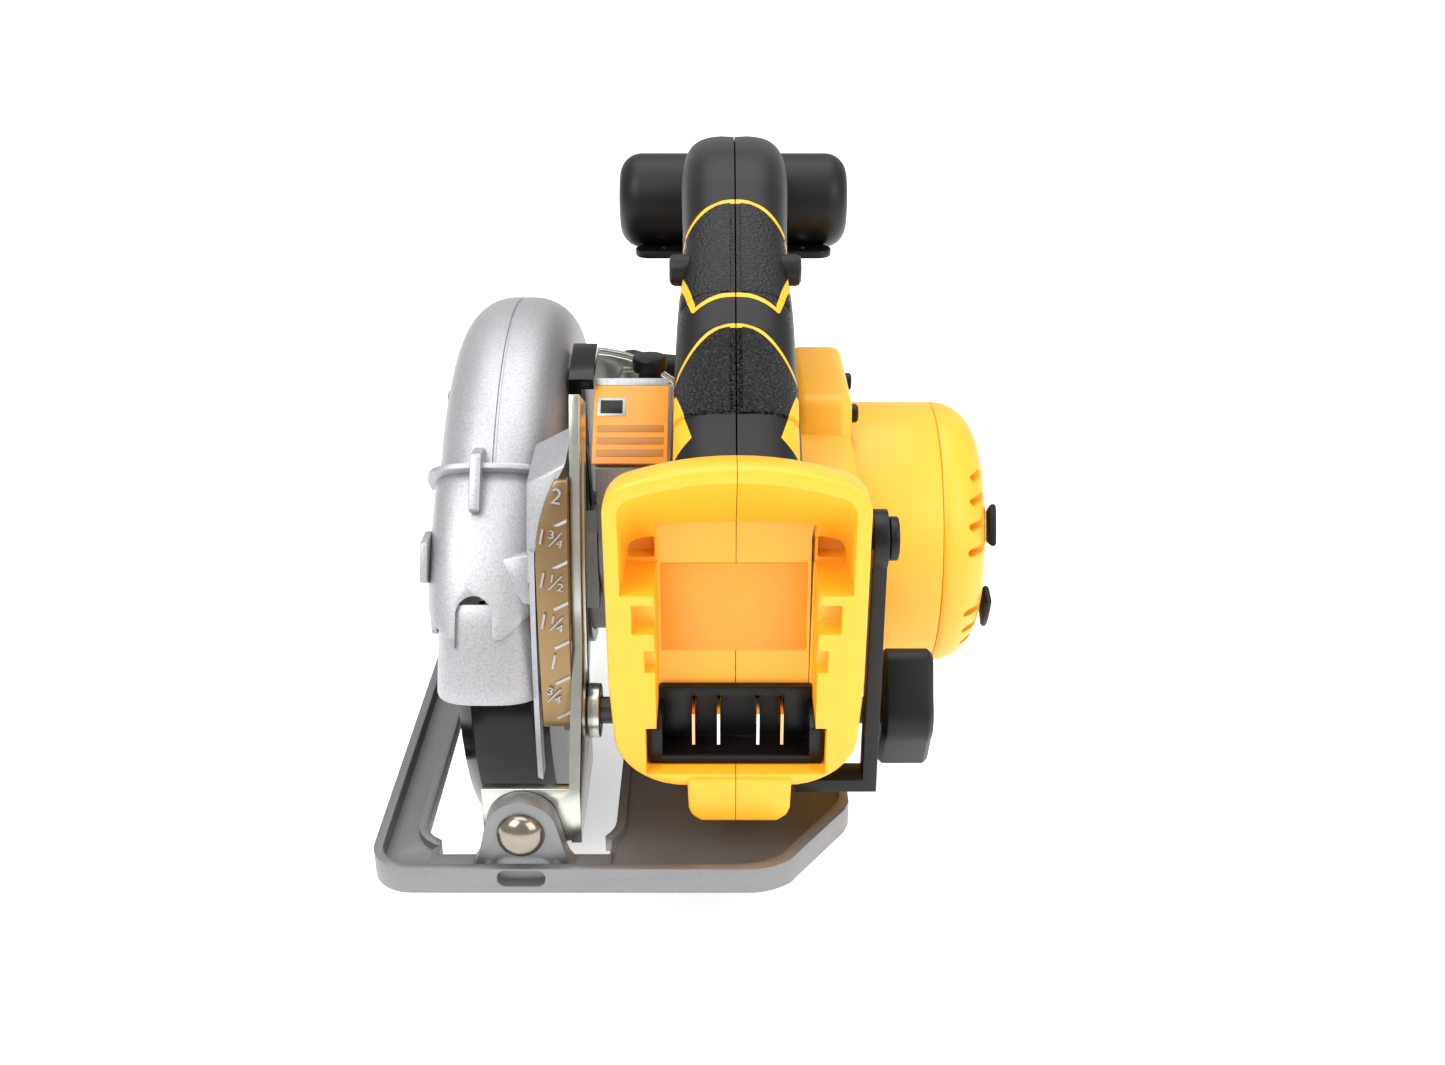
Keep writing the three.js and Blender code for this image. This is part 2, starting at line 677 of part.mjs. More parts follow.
function caseFurniture() {
  const plate = prism("x", caseOutline(0.4), CASE_RIGHT + GAP, CASE_PLATE_RIGHT)
    .subtract(rod("x", MOTOR_Y, MOTOR_Z, 9.3, CASE_RIGHT, 0, 24))
    .subtract(rod("x", 0, ARBOR_Z, 5, CASE_RIGHT, 0, 16));
  piece("gear_case_plate", plate, CAST);
  const slope = Math.atan2(18, 25);
  const label = new THREE.BoxGeometry(17, 27, 0.8);
  label.rotateX(slope);
  const lift = 0.75; // half the label's thickness and its gap
  const centre = (CASE_LEFT + CASE_RIGHT) / 2;
  label.translate(centre, -34.5 - lift * Math.sin(slope), 101 + lift * Math.cos(slope));
  piece("gear_case_label", solid(label), AMBER);
  const ring = rod("x", 0, ARBOR_Z, 16, -48.6, -40, 28)
    .subtract(rod("x", 0, ARBOR_Z, BORE + 0.1, -50, -30, 24));
  piece("spindle_bearing", ring, STEEL);
  const head = rod("z", PRESS_X, PRESS_Y, PRESS_RADIUS + 2, PRESS_TOP - 5, PRESS_TOP, 20);
  const button = rod("z", PRESS_X, PRESS_Y, PRESS_RADIUS, PRESS_TOP - 18, PRESS_TOP - 2, 16).add(head);
  piece("spindle_lock_button", button, BLACK);
}

// ---------------------------------------------------------------- motor
function motorPieces() {
  const shell = (radius, from, to) => rod("x", MOTOR_Y, MOTOR_Z, radius, from, to, 40);
  const barrel = shell(MOTOR_RADIUS, BARREL_START, BARREL_END)
    .subtract(shell(MOTOR_RADIUS - MOTOR_WALL, BARREL_START - 1, BARREL_END + 1));
  piece("motor_housing", barrel, YELLOW);
  let cap = turned("x", MOTOR_Y, MOTOR_Z, [
    [0, CAP_END - MOTOR_WALL],
    [MOTOR_RADIUS - 9, CAP_END - MOTOR_WALL],
    [MOTOR_RADIUS - MOTOR_WALL, BARREL_END + GAP],
    [MOTOR_RADIUS, BARREL_END + GAP],
    [MOTOR_RADIUS - 2.4, CAP_END - 2],
    [MOTOR_RADIUS - 6, CAP_END],
    [0, CAP_END],
  ], 40).add(shell(10.6, CAP_END - 12, CAP_END - 2));
  cap = cap.subtract(rod("x", MOTOR_Y, MOTOR_Z, 8.3, 60, CAP_END - 3.4, 24));
  for (let i = 0; i < 4; i += 1) {
    const [[y, z]] = arc(MOTOR_Y, MOTOR_Z, 30, 168 + i * 13, 0, 1);
    cap = cap.subtract(rod("x", y, z, 2.6, BARREL_END, CAP_END + 1, 10));
  }
  piece("motor_end_cap", cap, YELLOW);
  const stator = shell(34, 6, 52).subtract(shell(21, 5, 53));
  piece("stator", stator, DARK_STEEL);
  const ringAt = (from, to, outer) => {
    const bore = rod("x", MOTOR_Y, MOTOR_Z, 3.2, from - 1, to + 1, 16);
    return shell(outer, from, to).subtract(bore);
  };
  piece("rear_bearing", ringAt(CAP_END - 11, CAP_END - 4, 8), STEEL);
  piece("front_bearing", ringAt(CASE_RIGHT + 0.6, CASE_PLATE_RIGHT + 3, 9), STEEL);
  const rotor = shell(3, CASE_RIGHT - 14, CAP_END - 4, 16)
    .add(shell(20, 4, 54))
    .add(prism("x", gearOutline(MOTOR_Y, MOTOR_Z, PINION_TEETH), CASE_RIGHT - 13.5, CASE_RIGHT - 1));
  piece("rotor", rotor, DARK_STEEL);
  const fan = shell(31, FAN_START, FAN_START + 2.6)
    .add(shell(8, FAN_START, FAN_END))
    .subtract(rod("x", MOTOR_Y, MOTOR_Z, 3.2, 50, 80, 16));
  let bladed = fan;
  for (let i = 0; i < 9; i += 1) {
    const angle = i * 40;
    const vane = band(MOTOR_Y, MOTOR_Z, 9, 30, angle, angle + 6, 1);
    bladed = bladed.add(prism("x", vane, FAN_START + 2, FAN_END));
  }
  piece("cooling_fan", bladed, BLACK);
  const bumper = (angle) => {
    const pad = band(MOTOR_Y, MOTOR_Z, 27, 35, angle - 11, angle + 11, 3);
    return prism("x", pad, CAP_END + GAP, CAP_END + GAP + BUMPER_THICK, 0.6);
  };
  piece("bumper_upper", bumper(152), BLACK);
  piece("bumper_lower", bumper(206), BLACK);
}

// ---------------------------------------------------------------- main housing with the battery bay
function bayOutline(inset) {
  return [
    [BAY_REAR_BOTTOM, BAY_BOTTOM + inset],
    [BAY_REAR_TOP, BAY_TOP - inset],
    [BAY_HOOD_FRONT, BAY_TOP - inset],
    [-89.3, 87.6 - inset],
    [-80, 87 - inset],
    [-80, BAY_BOTTOM + inset],
  ];
}

const TERMINAL_XS = [-11.8, -4.8, 6.2, 12.9];

function housing(side) {
  const near = side > 0 ? GAP / 2 : -200;
  const half = box(near, near + 200 - GAP / 2, -300, 300, -50, 300);
  const motor = (radius, from, to) => rod("x", MOTOR_Y, MOTOR_Z, radius, from, to, 40);
  const left = BODY_LEFT;
  const right = BODY_RIGHT;
  const core = prism("x", [
    [-84, BAY_BOTTOM],
    [-84, 86],
    [-70, 95],
    [-58, 100],
    [26, 100],
    [31, 92],
    [31, 30],
    [20, 20],
    [-50, 20],
  ], left, right, 2);
  const inside = BAY_HALF_WIDTH - BAY_WALL;
  const cavity = prism("x", [
    [BAY_REAR_BOTTOM - 6, BAY_BOTTOM + BAY_WALL],
    [BAY_REAR_TOP - 6, BAY_TOP - BAY_WALL],
    [BAY_HOOD_FRONT, BAY_TOP - BAY_WALL],
    [BAY_FLOOR_Y, BAY_TOP - BAY_WALL - 14],
    [BAY_FLOOR_Y, BAY_BOTTOM + BAY_WALL],
  ], -inside, inside);
  const rail = (x0, x1) => box(x0, x1, BAY_FLOOR_Y - RAIL_DEPTH, BAY_FLOOR_Y + 1, BAY_BOTTOM + 1, RAIL_TOP);
  const blockSeat = box(
    -RAIL_INNER, RAIL_INNER, BAY_FLOOR_Y - 0.5, BAY_FLOOR_Y + 4.1, BAY_BOTTOM + BAY_WALL, BLOCK_TOP + GAP,
  );
  const tongue = box(-13, 15, -127, -104, 14, BAY_BOTTOM + 3);
  return prism("x", bayOutline(0), -BAY_HALF_WIDTH, BAY_HALF_WIDTH, 3)
    .add(tongue)
    .add(core)
    .add(motor(MOTOR_RADIUS + 1, left, right))
    .add(prism("x", [[-40, 90], [-34, 111], [16, 111], [24, 90]], 20, right, 2))
    .add(prism("x", [[20, 62], [20, 96], [42, 110], [72, 110], [64, 88], [40, 62]], left, HANDLE_HALF, 2))
    .subtract(cavity)
    .add(rail(-BAY_HALF_WIDTH + 1, -RAIL_INNER))
    .add(rail(RAIL_INNER, BAY_HALF_WIDTH - 1))
    .subtract(motor(MOTOR_RADIUS - MOTOR_WALL, left + 3, right + 1))
    .subtract(motor(9.6, left - 1, left + 4))
    .subtract(rod("x", LOCK_Y, LOCK_Z, LOCK_BOLT + RUN, -60, 60, 16))
    .subtract(box(-25, 25, BAY_FLOOR_Y + 6.5, -54, 40, 82))
    .subtract(blockSeat)
    .intersect(half);
}

// The right half's outboard part, a separate shell that carries the motor.
function motorCollar(gap) {
  return box(COLLAR_LEFT + gap, 200, COLLAR_REAR + gap, 300, -50, 300);
}

function bayPieces() {
  const floor = BAY_FLOOR_Y;
  const half = RAIL_INNER - GAP;
  const back = floor + 3.8;
  const foot = BAY_BOTTOM + BAY_WALL + GAP;
  let block = box(-half, half, floor - 2.4, back, foot, BLOCK_TOP)
    .add(box(-half, half, floor - 12, floor - GAP, foot, foot + 2.4));
  TERMINAL_XS.forEach((x, i) => {
    block = block.subtract(box(x - 0.7, x + 0.7, floor - 4, back + 1, foot + 5, BLOCK_TOP - 3));
    const blade = box(x - 0.4, x + 0.4, floor - 11.5, back - 0.5, foot + 5.4, BLOCK_TOP - 3.4);
    piece("terminal_" + (i + 1), blade, i % 3 === 0 ? COPPER : STEEL);
  });
  piece("terminal_block", block, BLACK);
  piece("rating_plate", box(-20, 20, floor - 0.9, floor - GAP, 58.5, 86), AMBER);
  piece("motor_controller", box(-18, 14, -88, -58, 46, 78), DARK_STEEL);
}

// ---------------------------------------------------------------- handle
function handleOutline() {
  return [
    [-107, 119],
    [-40, 162.5],
    [-24, 174],
    [-12, 180],
    [16, 180],
    [40, 174],
    [62, 158],
    [74, 134],
    [74, 110.4],
    [44, 110.4],
    [44, 128],
    [36, 140],
    [22, 146],
    [8, 146],
    [-58, 106.5],
    [-88, 88.6],
  ];
}

function handle(side) {
  const half = side > 0 ? box(GAP / 2, 60, -200, 200, 0, 300) : box(-60, -GAP / 2, -200, 200, 0, 300);
  return prism("x", handleOutline(), -HANDLE_HALF, HANDLE_HALF, HANDLE_ROUND)
    .subtract(box(-8, 8, -12, 32, 138, 168))
    .subtract(rod("x", BUTTON_Y, BUTTON_Z, BUTTON_RADIUS + RUN, -30, 30, 16))
    .subtract(rod("x", POMMEL_Y, POMMEL_Z, POMMEL_RADIUS + GAP, -50, 50, 28))
    .intersect(half);
}

function handlePieces() {
  piece("handle_left", handle(-1), BLACK);
  piece("handle_right", handle(1), BLACK);
  const pommel = turned("x", POMMEL_Y, POMMEL_Z, [
    [0, -POMMEL_HALF],
    [POMMEL_RADIUS - 7, -POMMEL_HALF],
    ...arc(POMMEL_RADIUS - 7, -POMMEL_HALF + 7, 7, 280, 350, 3),
    ...arc(POMMEL_RADIUS - 7, POMMEL_HALF - 7, 7, 10, 80, 3),
    [POMMEL_RADIUS - 7, POMMEL_HALF],
    [0, POMMEL_HALF],
  ], 28);
  piece("front_pommel", pommel, BLACK);
  piece("switch_body", box(-7.6, 7.6, -6, 30, 157.5, 167), BLACK);
  const trigger = prism("x", [
    [-4, 138.6],
    [6, 134],
    [20, 131],
    [30, 134],
    [31, 143],
    [28, 151],
    [-4, 151],
  ], -7.2, 7.2, 1.2).subtract(rod("x", 27, 146.6, 1.9, -10, 10, 12));
  piece("trigger", trigger, BLACK);
  piece("trigger_pin", rod("x", 27, 146.6, 1.5, -7.8, 7.8, 12), STEEL);
  const button = rod("x", BUTTON_Y, BUTTON_Z, BUTTON_RADIUS, -HANDLE_HALF - 2.6, HANDLE_HALF + 2.6, 16);
  piece("lock_off_button", button, BLACK);
}

// ---------------------------------------------------------------- hook and depth lock
function hangHook() {
  const right = HOOK_LEFT + HOOK_THICK;
  const bottom = HOOK_PIVOT_Z - HOOK_DROP;
  const half = HOOK_WIDE / 2;
  return rod("x", HOOK_Y, HOOK_PIVOT_Z, 8, HOOK_LEFT, right, 20)
    .add(box(HOOK_LEFT, right, HOOK_Y - half, HOOK_Y + half, bottom, HOOK_PIVOT_Z))
    .add(box(17, right, HOOK_Y - half, HOOK_Y + half, bottom, bottom + HOOK_THICK))
    .subtract(rod("x", HOOK_Y, HOOK_PIVOT_Z, 3 + GAP, 30, 60, 16));
}

function hookScrew() {
  const right = HOOK_LEFT + HOOK_THICK;
  return rod("x", HOOK_Y, HOOK_PIVOT_Z, 3, BAY_HALF_WIDTH + GAP, right + 1, 16)
    .add(rod("x", HOOK_Y, HOOK_PIVOT_Z, 6, right + GAP, right + 3, 20));
}

function depthLock() {
  const bolt = rod("x", LOCK_Y, LOCK_Z, LOCK_BOLT, BRACKET_X - 1, LOCK_KNOB_LEFT + 6, 16)
    .add(rod("x", LOCK_Y, LOCK_Z, 6, BRACKET_X - 3.6, BRACKET_X - GAP, 16));
  piece("depth_lock_bolt", bolt, DARK_STEEL);
  const washer = rod("x", LOCK_Y, LOCK_Z, 8, BRACKET_X + SHEET + GAP, BRACKET_X + SHEET + 4, 24)
    .subtract(rod("x", LOCK_Y, LOCK_Z, LOCK_BOLT + GAP, -60, 0, 16));
  piece("depth_lock_washer", washer, ZINC);
  const outline = [
    ...arc(LOCK_Y, LOCK_Z, 12, -30, 60, 5),
    ...arc(LOCK_Y + 2, LOCK_Z + 14, 5, 20, 170, 5),
    ...arc(LOCK_Y, LOCK_Z, 10, 130, 230, 5),
    ...arc(LOCK_Y + 2, LOCK_Z - 14, 5, 190, 340, 5),
  ];
  const knob = prism("x", outline, LOCK_KNOB_LEFT, LOCK_KNOB_LEFT + LOCK_KNOB_WIDTH, 1.5)
    .subtract(rod("x", LOCK_Y, LOCK_Z, LOCK_BOLT + GAP, 30, LOCK_KNOB_LEFT + 7, 16));
  piece("depth_lock_knob", knob, BLACK);
}

// ---------------------------------------------------------------- the whole saw
piece("shoe", shoe(), CAST);
piece("rear_bevel_rivet", rearRivet(), STEEL);
piece("bevel_quadrant", bevelQuadrant(), ZINC);
piece("front_bevel_rivet", frontRivet(), STEEL);
piece("depth_bracket", depthBracket(), ZINC);
piece("front_bracket", frontBracket(), ZINC);
piece("depth_hinge_pin", hingePin(), STEEL);
bevelLock();
piece("upper_guard", upperGuard(), CAST);
piece("dust_chute", dustChute(), CAST);
piece("chute_liner", chuteLiner(), CAST);
piece("depth_scale", depthScale(), BRONZE);
piece("lower_guard", lowerGuard(), GLOSS_BLACK);
piece("guard_lever", guardLever(), BLACK);
bladeStack();
piece("gear_case", gearCase(), CAST);
caseFurniture();
motorPieces();
piece("housing_left", housing(-1), YELLOW);
piece("housing_right", housing(1).subtract(motorCollar(0)), YELLOW);
piece("motor_collar", housing(1).intersect(motorCollar(GAP)), YELLOW);
bayPieces();
handlePieces();
piece("hang_hook", hangHook(), BLACK);
piece("hook_screw", hookScrew(), STEEL);
depthLock();

export default saw;
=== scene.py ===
"""A cordless circular saw seen by its user from behind: its looks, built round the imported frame."""

import math

import bpy
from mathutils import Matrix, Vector


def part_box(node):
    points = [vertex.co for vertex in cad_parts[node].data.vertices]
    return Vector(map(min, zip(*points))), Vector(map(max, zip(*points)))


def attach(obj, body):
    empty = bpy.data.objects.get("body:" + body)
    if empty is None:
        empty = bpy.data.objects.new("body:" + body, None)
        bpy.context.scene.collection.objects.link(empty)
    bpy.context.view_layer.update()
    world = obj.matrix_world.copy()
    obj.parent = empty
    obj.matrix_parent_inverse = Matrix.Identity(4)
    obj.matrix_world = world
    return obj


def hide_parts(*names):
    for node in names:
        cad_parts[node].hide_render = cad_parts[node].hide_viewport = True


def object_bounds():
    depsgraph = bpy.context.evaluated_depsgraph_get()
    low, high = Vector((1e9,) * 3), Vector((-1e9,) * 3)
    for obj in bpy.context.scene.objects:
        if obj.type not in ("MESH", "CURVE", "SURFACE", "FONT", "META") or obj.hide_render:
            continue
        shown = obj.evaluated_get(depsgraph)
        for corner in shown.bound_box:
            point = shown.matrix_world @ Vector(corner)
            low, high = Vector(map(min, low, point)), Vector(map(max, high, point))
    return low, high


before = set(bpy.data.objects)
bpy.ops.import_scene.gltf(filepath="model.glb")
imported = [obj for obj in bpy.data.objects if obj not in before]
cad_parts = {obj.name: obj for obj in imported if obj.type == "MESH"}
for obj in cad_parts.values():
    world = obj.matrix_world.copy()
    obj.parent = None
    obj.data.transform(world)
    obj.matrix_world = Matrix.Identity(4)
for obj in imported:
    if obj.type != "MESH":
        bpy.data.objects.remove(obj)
cad_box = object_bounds()

MM = 0.001
SOFT_ANGLE = math.radians(38)


# ------------------------------------------------------------------ small tools
def calm():
    if bpy.context.object and bpy.context.object.mode != "OBJECT":
        bpy.ops.object.mode_set(mode="OBJECT")
    bpy.ops.object.select_all(action="DESELECT")


def take(piece):
    calm()
    piece.select_set(True)
    bpy.context.view_layer.objects.active = piece


def edit(piece, *steps):
    """Runs mesh operators on the whole piece in edit mode."""
    take(piece)
    bpy.ops.object.mode_set(mode="EDIT")
    bpy.ops.mesh.select_all(action="SELECT")
    for step in steps:
        step()
    bpy.ops.object.mode_set(mode="OBJECT")


def tidy_normals(piece, merge=0.00001):
    """Merges what meets and turns every face outward."""
    edit(
        piece,
        lambda: bpy.ops.mesh.remove_doubles(threshold=merge),
        lambda: bpy.ops.mesh.normals_make_consistent(inside=False),
    )
    volume = sum(face.center.dot(face.normal) * face.area for face in piece.data.polygons)
    if volume < 0:
        edit(piece, lambda: bpy.ops.mesh.flip_normals())


def modify(piece, kind, **settings):
    """Adds a modifier and applies it."""
    take(piece)
    added = piece.modifiers.new(kind.lower(), kind)
    for name, value in settings.items():
        setattr(added, name, value)
    bpy.ops.object.modifier_apply(modifier=added.name)


def round_edges(piece, width, segments=2, angle=32):
    modify(
        piece, "BEVEL", width=width * MM, segments=segments,
        limit_method="ANGLE", angle_limit=math.radians(angle),
    )


def settle(piece):
    """Puts the piece's place into its mesh and smooths what isn't an edge."""
    take(piece)
    bpy.ops.object.transform_apply(location=True, rotation=True, scale=True)
    bpy.ops.object.shade_smooth_by_angle(angle=SOFT_ANGLE)


def carve(piece, tool):
    modify(piece, "BOOLEAN", operation="DIFFERENCE", object=tool, solver="EXACT")
    bpy.data.objects.remove(tool)
    return piece


def fuse(piece, tool):
    modify(piece, "BOOLEAN", operation="UNION", object=tool, solver="EXACT")
    bpy.data.objects.remove(tool)
    return piece


def keep_inside(piece, tool):
    modify(piece, "BOOLEAN", operation="INTERSECT", object=tool, solver="EXACT")
    bpy.data.objects.remove(tool)
    return piece


def block(name, low, high, edge=0.0):
    """A box between two corners in millimetres, with its edges rounded."""
    bpy.ops.mesh.primitive_cube_add(size=MM, location=[(a + b) / 2 * MM for a, b in zip(low, high)])
    made = bpy.context.object
    made.name = name
    made.scale = [b - a for a, b in zip(low, high)]
    take(made)
    bpy.ops.object.transform_apply(location=True, rotation=True, scale=True)
    if edge:
        edit(made, lambda: bpy.ops.mesh.bevel(offset=edge * MM, segments=2))
    return made


PLANES = {"x": (1, 2, 0), "y": (0, 2, 1), "z": (0, 1, 2)}


def placed(axis, a, b, along):
    first, second, third = PLANES[axis]
    point = [0.0, 0.0, 0.0]
    point[first], point[second], point[third] = a * MM, b * MM, along * MM
    return Vector(point)


def plate(name, axis, outline, start, end, edge=0.0):
    """An outline in millimetres, extruded along an axis, with its edges rounded."""
    bpy.ops.mesh.primitive_circle_add(vertices=len(outline), radius=1, fill_type="NGON")
    made = bpy.context.object
    made.name = name
    for vertex, (a, b) in zip(made.data.vertices, outline):
        vertex.co = placed(axis, a, b, start)
    reach = placed(axis, 0, 0, end - start)
    edit(
        made,
        lambda: bpy.ops.mesh.extrude_region_move(TRANSFORM_OT_translate={"value": reach}),
        lambda: bpy.ops.mesh.select_all(action="SELECT"),
        lambda: bpy.ops.mesh.normals_make_consistent(inside=False),
    )
    if edge:
        round_edges(made, edge)
    return made


def arc(a, b, radius, start, end, steps):
    return [
        (
            a + radius * math.cos(math.radians(start + (end - start) * i / steps)),
            b + radius * math.sin(math.radians(start + (end - start) * i / steps)),
        )
        for i in range(steps + 1)
    ]


def circle(a, b, radius, sides=48):
    return arc(a, b, radius, 0, 360, sides)[:-1]


def rod(name, axis, a, b, radius, start, end, sides=48):
    return plate(name, axis, circle(a, b, radius, sides), start, end)


def rounded(x0, x1, y0, y1, radius, steps=6):
    return (
        arc(x0 + radius, y0 + radius, radius, 180, 270, steps)
        + arc(x1 - radius, y0 + radius, radius, 270, 360, steps)
        + arc(x1 - radius, y1 - radius, radius, 0, 90, steps)
        + arc(x0 + radius, y1 - radius, radius, 90, 180, steps)
    )


def skin(name, rows, caps=True):
    """A grid laid over rows of points in millimetres, closed round and at both ends."""
    across = len(rows[0])
    bpy.ops.mesh.primitive_grid_add(x_subdivisions=across - 1, y_subdivisions=len(rows) - 1)
    made = bpy.context.object
    made.name = name
    points = [point for row in rows for point in row]
    for vertex, point in zip(made.data.vertices, points):
        vertex.co = Vector(point) * MM
    take(made)
    tidy_normals(made)
    if caps:
        edit(made, lambda: bpy.ops.mesh.fill_holes(sides=0))
        tidy_normals(made)
    return made


def spun(name, axis, a, b, profile, steps=72):
    """A profile of (radius, place along the axis) turned round an axis parallel to x, y or z."""
    rows = []
    for i in range(steps + 1):
        turn = 2 * math.pi * i / steps
        rows.append([
            placed(axis, a + r * math.cos(turn), b + r * math.sin(turn), along) / MM
            for r, along in profile
        ])
    return skin(name, rows, caps=False)


def from_frame(name, node, edge=0.0):
    """The frame's own shape for a piece, cleaned up and with its edges rounded."""
    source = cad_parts[node]
    made = bpy.data.objects.new(name, source.data.copy())
    bpy.context.scene.collection.objects.link(made)
    made.data.materials.clear()
    take(made)
    edit(
        made,
        lambda: bpy.ops.mesh.remove_doubles(threshold=0.00001),
        lambda: bpy.ops.mesh.dissolve_limited(angle_limit=math.radians(1.0)),
    )
    if edge:
        round_edges(made, edge)
    return made


def finished(piece, body, slot, material, *nodes):
    settle(piece)
    piece.data.materials.clear()
    piece.data.materials.append(material)
    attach(piece, body)
    if nodes:
        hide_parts(*nodes)
    return piece


# ------------------------------------------------------------------ finishes
class Wire:
    """A shader socket that can be written into sums."""

    def __init__(self, tree, socket):
        self.tree = tree
        self.socket = socket

    def _math(self, operation, first, second):
        made = self.tree.nodes.new("ShaderNodeMath")
        made.operation = operation
        for place, value in enumerate((first, second)):
            if isinstance(value, Wire):
                self.tree.links.new(value.socket, made.inputs[place])
            else:
                made.inputs[place].default_value = value
        return Wire(self.tree, made.outputs[0])

    def __add__(self, other):
        return self._math("ADD", self, other)

    __radd__ = __add__

    def __sub__(self, other):
        return self._math("SUBTRACT", self, other)

    def __rsub__(self, other):
        return self._math("SUBTRACT", other, self)

    def __mul__(self, other):
        return self._math("MULTIPLY", self, other)

    __rmul__ = __mul__

    def above(self, other):
        return self._math("GREATER_THAN", self, other)

    def below(self, other):
        return self._math("LESS_THAN", self, other)

    def size(self):
        return self._math("ABSOLUTE", self, 0.0)


class Finish:
    """One material being mixed."""

    def __init__(self, name):
        self.material = bpy.data.materials.new(name)
        self.material.use_nodes = True
        self.tree = self.material.node_tree
        self.shader = self.tree.nodes["Principled BSDF"]
        self.place = self.tree.nodes.new("ShaderNodeTexCoord").outputs["Object"]

    def node(self, kind, settings=None, values=None, out=0):
        made = self.tree.nodes.new(kind)
        for name, value in (settings or {}).items():
            setattr(made, name, value)
        for name, value in (values or {}).items():
            if isinstance(value, Wire):
                self.tree.links.new(value.socket, made.inputs[name])
            elif isinstance(value, bpy.types.NodeSocket):
                self.tree.links.new(value, made.inputs[name])
            else:
                made.inputs[name].default_value = value
        return Wire(self.tree, made.outputs[out])

    def noise(self, scale, detail=2.0, rough=0.5):
        values = {"Vector": self.place, "Scale": scale, "Detail": detail, "Roughness": rough}
        return self.node("ShaderNodeTexNoise", None, values)

    def cells(self, scale):
        return self.node("ShaderNodeTexVoronoi", None, {"Vector": self.place, "Scale": scale})

    def axes(self):
        parts = self.tree.nodes.new("ShaderNodeSeparateXYZ")
        self.tree.links.new(self.place, parts.inputs[0])
        return [Wire(self.tree, parts.outputs[i]) for i in range(3)]

    def blend(self, amount, first, second):
        """A colour between two, as the amount goes from 0 to 1."""
        made = self.tree.nodes.new("ShaderNodeMix")
        made.data_type = "RGBA"
        for place, value in ((0, amount), (6, first), (7, second)):
            if isinstance(value, Wire):
                self.tree.links.new(value.socket, made.inputs[place])
            else:
                made.inputs[place].default_value = value if place == 0 else (*value, 1.0)
        return Wire(self.tree, made.outputs[2])

    def colour(self, wire):
        self.tree.links.new(wire.socket, self.shader.inputs["Base Color"])

    def varying(self, name, wire):
        self.tree.links.new(wire.socket, self.shader.inputs[name])

    def bump(self, height, strength, distance):
        values = {"Height": height, "Strength": strength, "Distance": distance}
        made = self.node("ShaderNodeBump", None, values)
        self.tree.links.new(made.socket, self.shader.inputs["Normal"])

    def fixed(self, **values):
        for name, value in values.items():
            self.shader.inputs[name.replace("_", " ")].default_value = value


def shade(colour, share):
    return tuple(min(1.0, c * share) for c in colour)


def moulded_plastic(name, colour, roughness, grain=0.12, grain_scale=2600, spread=0.10, sheen=0.5):
    made = Finish(name)
    cloud = made.noise(38, 4)
    made.colour(made.blend(cloud, shade(colour, 1 - spread), shade(colour, 1 + spread)))
    fine = made.noise(grain_scale, 2)
    made.varying("Roughness", fine * 0.10 + cloud * 0.06 + (roughness - 0.08))
    made.bump(fine, grain, 0.0002)
    made.fixed(Specular_IOR_Level=sheen)
    return made.material


def metal(name, colour, roughness, metallic=1.0, spread=0.12, speck=0.0, scale=60, grain=0.06):
    made = Finish(name)
    cloud = made.noise(scale, 5, 0.6)
    base = made.blend(cloud, shade(colour, 1 - spread), shade(colour, 1 + spread))
    fine = made.noise(3200, 1)
    if speck:
        flakes = made.cells(1500)
        base = made.blend((1.0 - flakes) * speck, base, shade(colour, 1.9))
    made.colour(base)
    made.varying("Roughness", cloud * 0.12 + fine * 0.06 + (roughness - 0.09))
    made.bump(fine + cloud * 0.3, grain, 0.0002)
    made.fixed(Metallic=metallic)
    return made.material


def label(name, colour):
    """A blank printed label: a plain, slightly uneven field."""
    made = Finish(name)
    cloud = made.noise(120, 3)
    field = made.blend(cloud, shade(colour, 0.92), shade(colour, 1.06))
    made.colour(field)
    made.varying("Roughness", cloud * 0.1 + 0.38)
    made.bump(made.noise(1500, 1), 0.05, 0.0002)
    return made.material


# The handle's straight back rises along this line from its collar.
BACK_START = (-107.0, 119.0)
BACK_RISE = (0.842, 0.540)


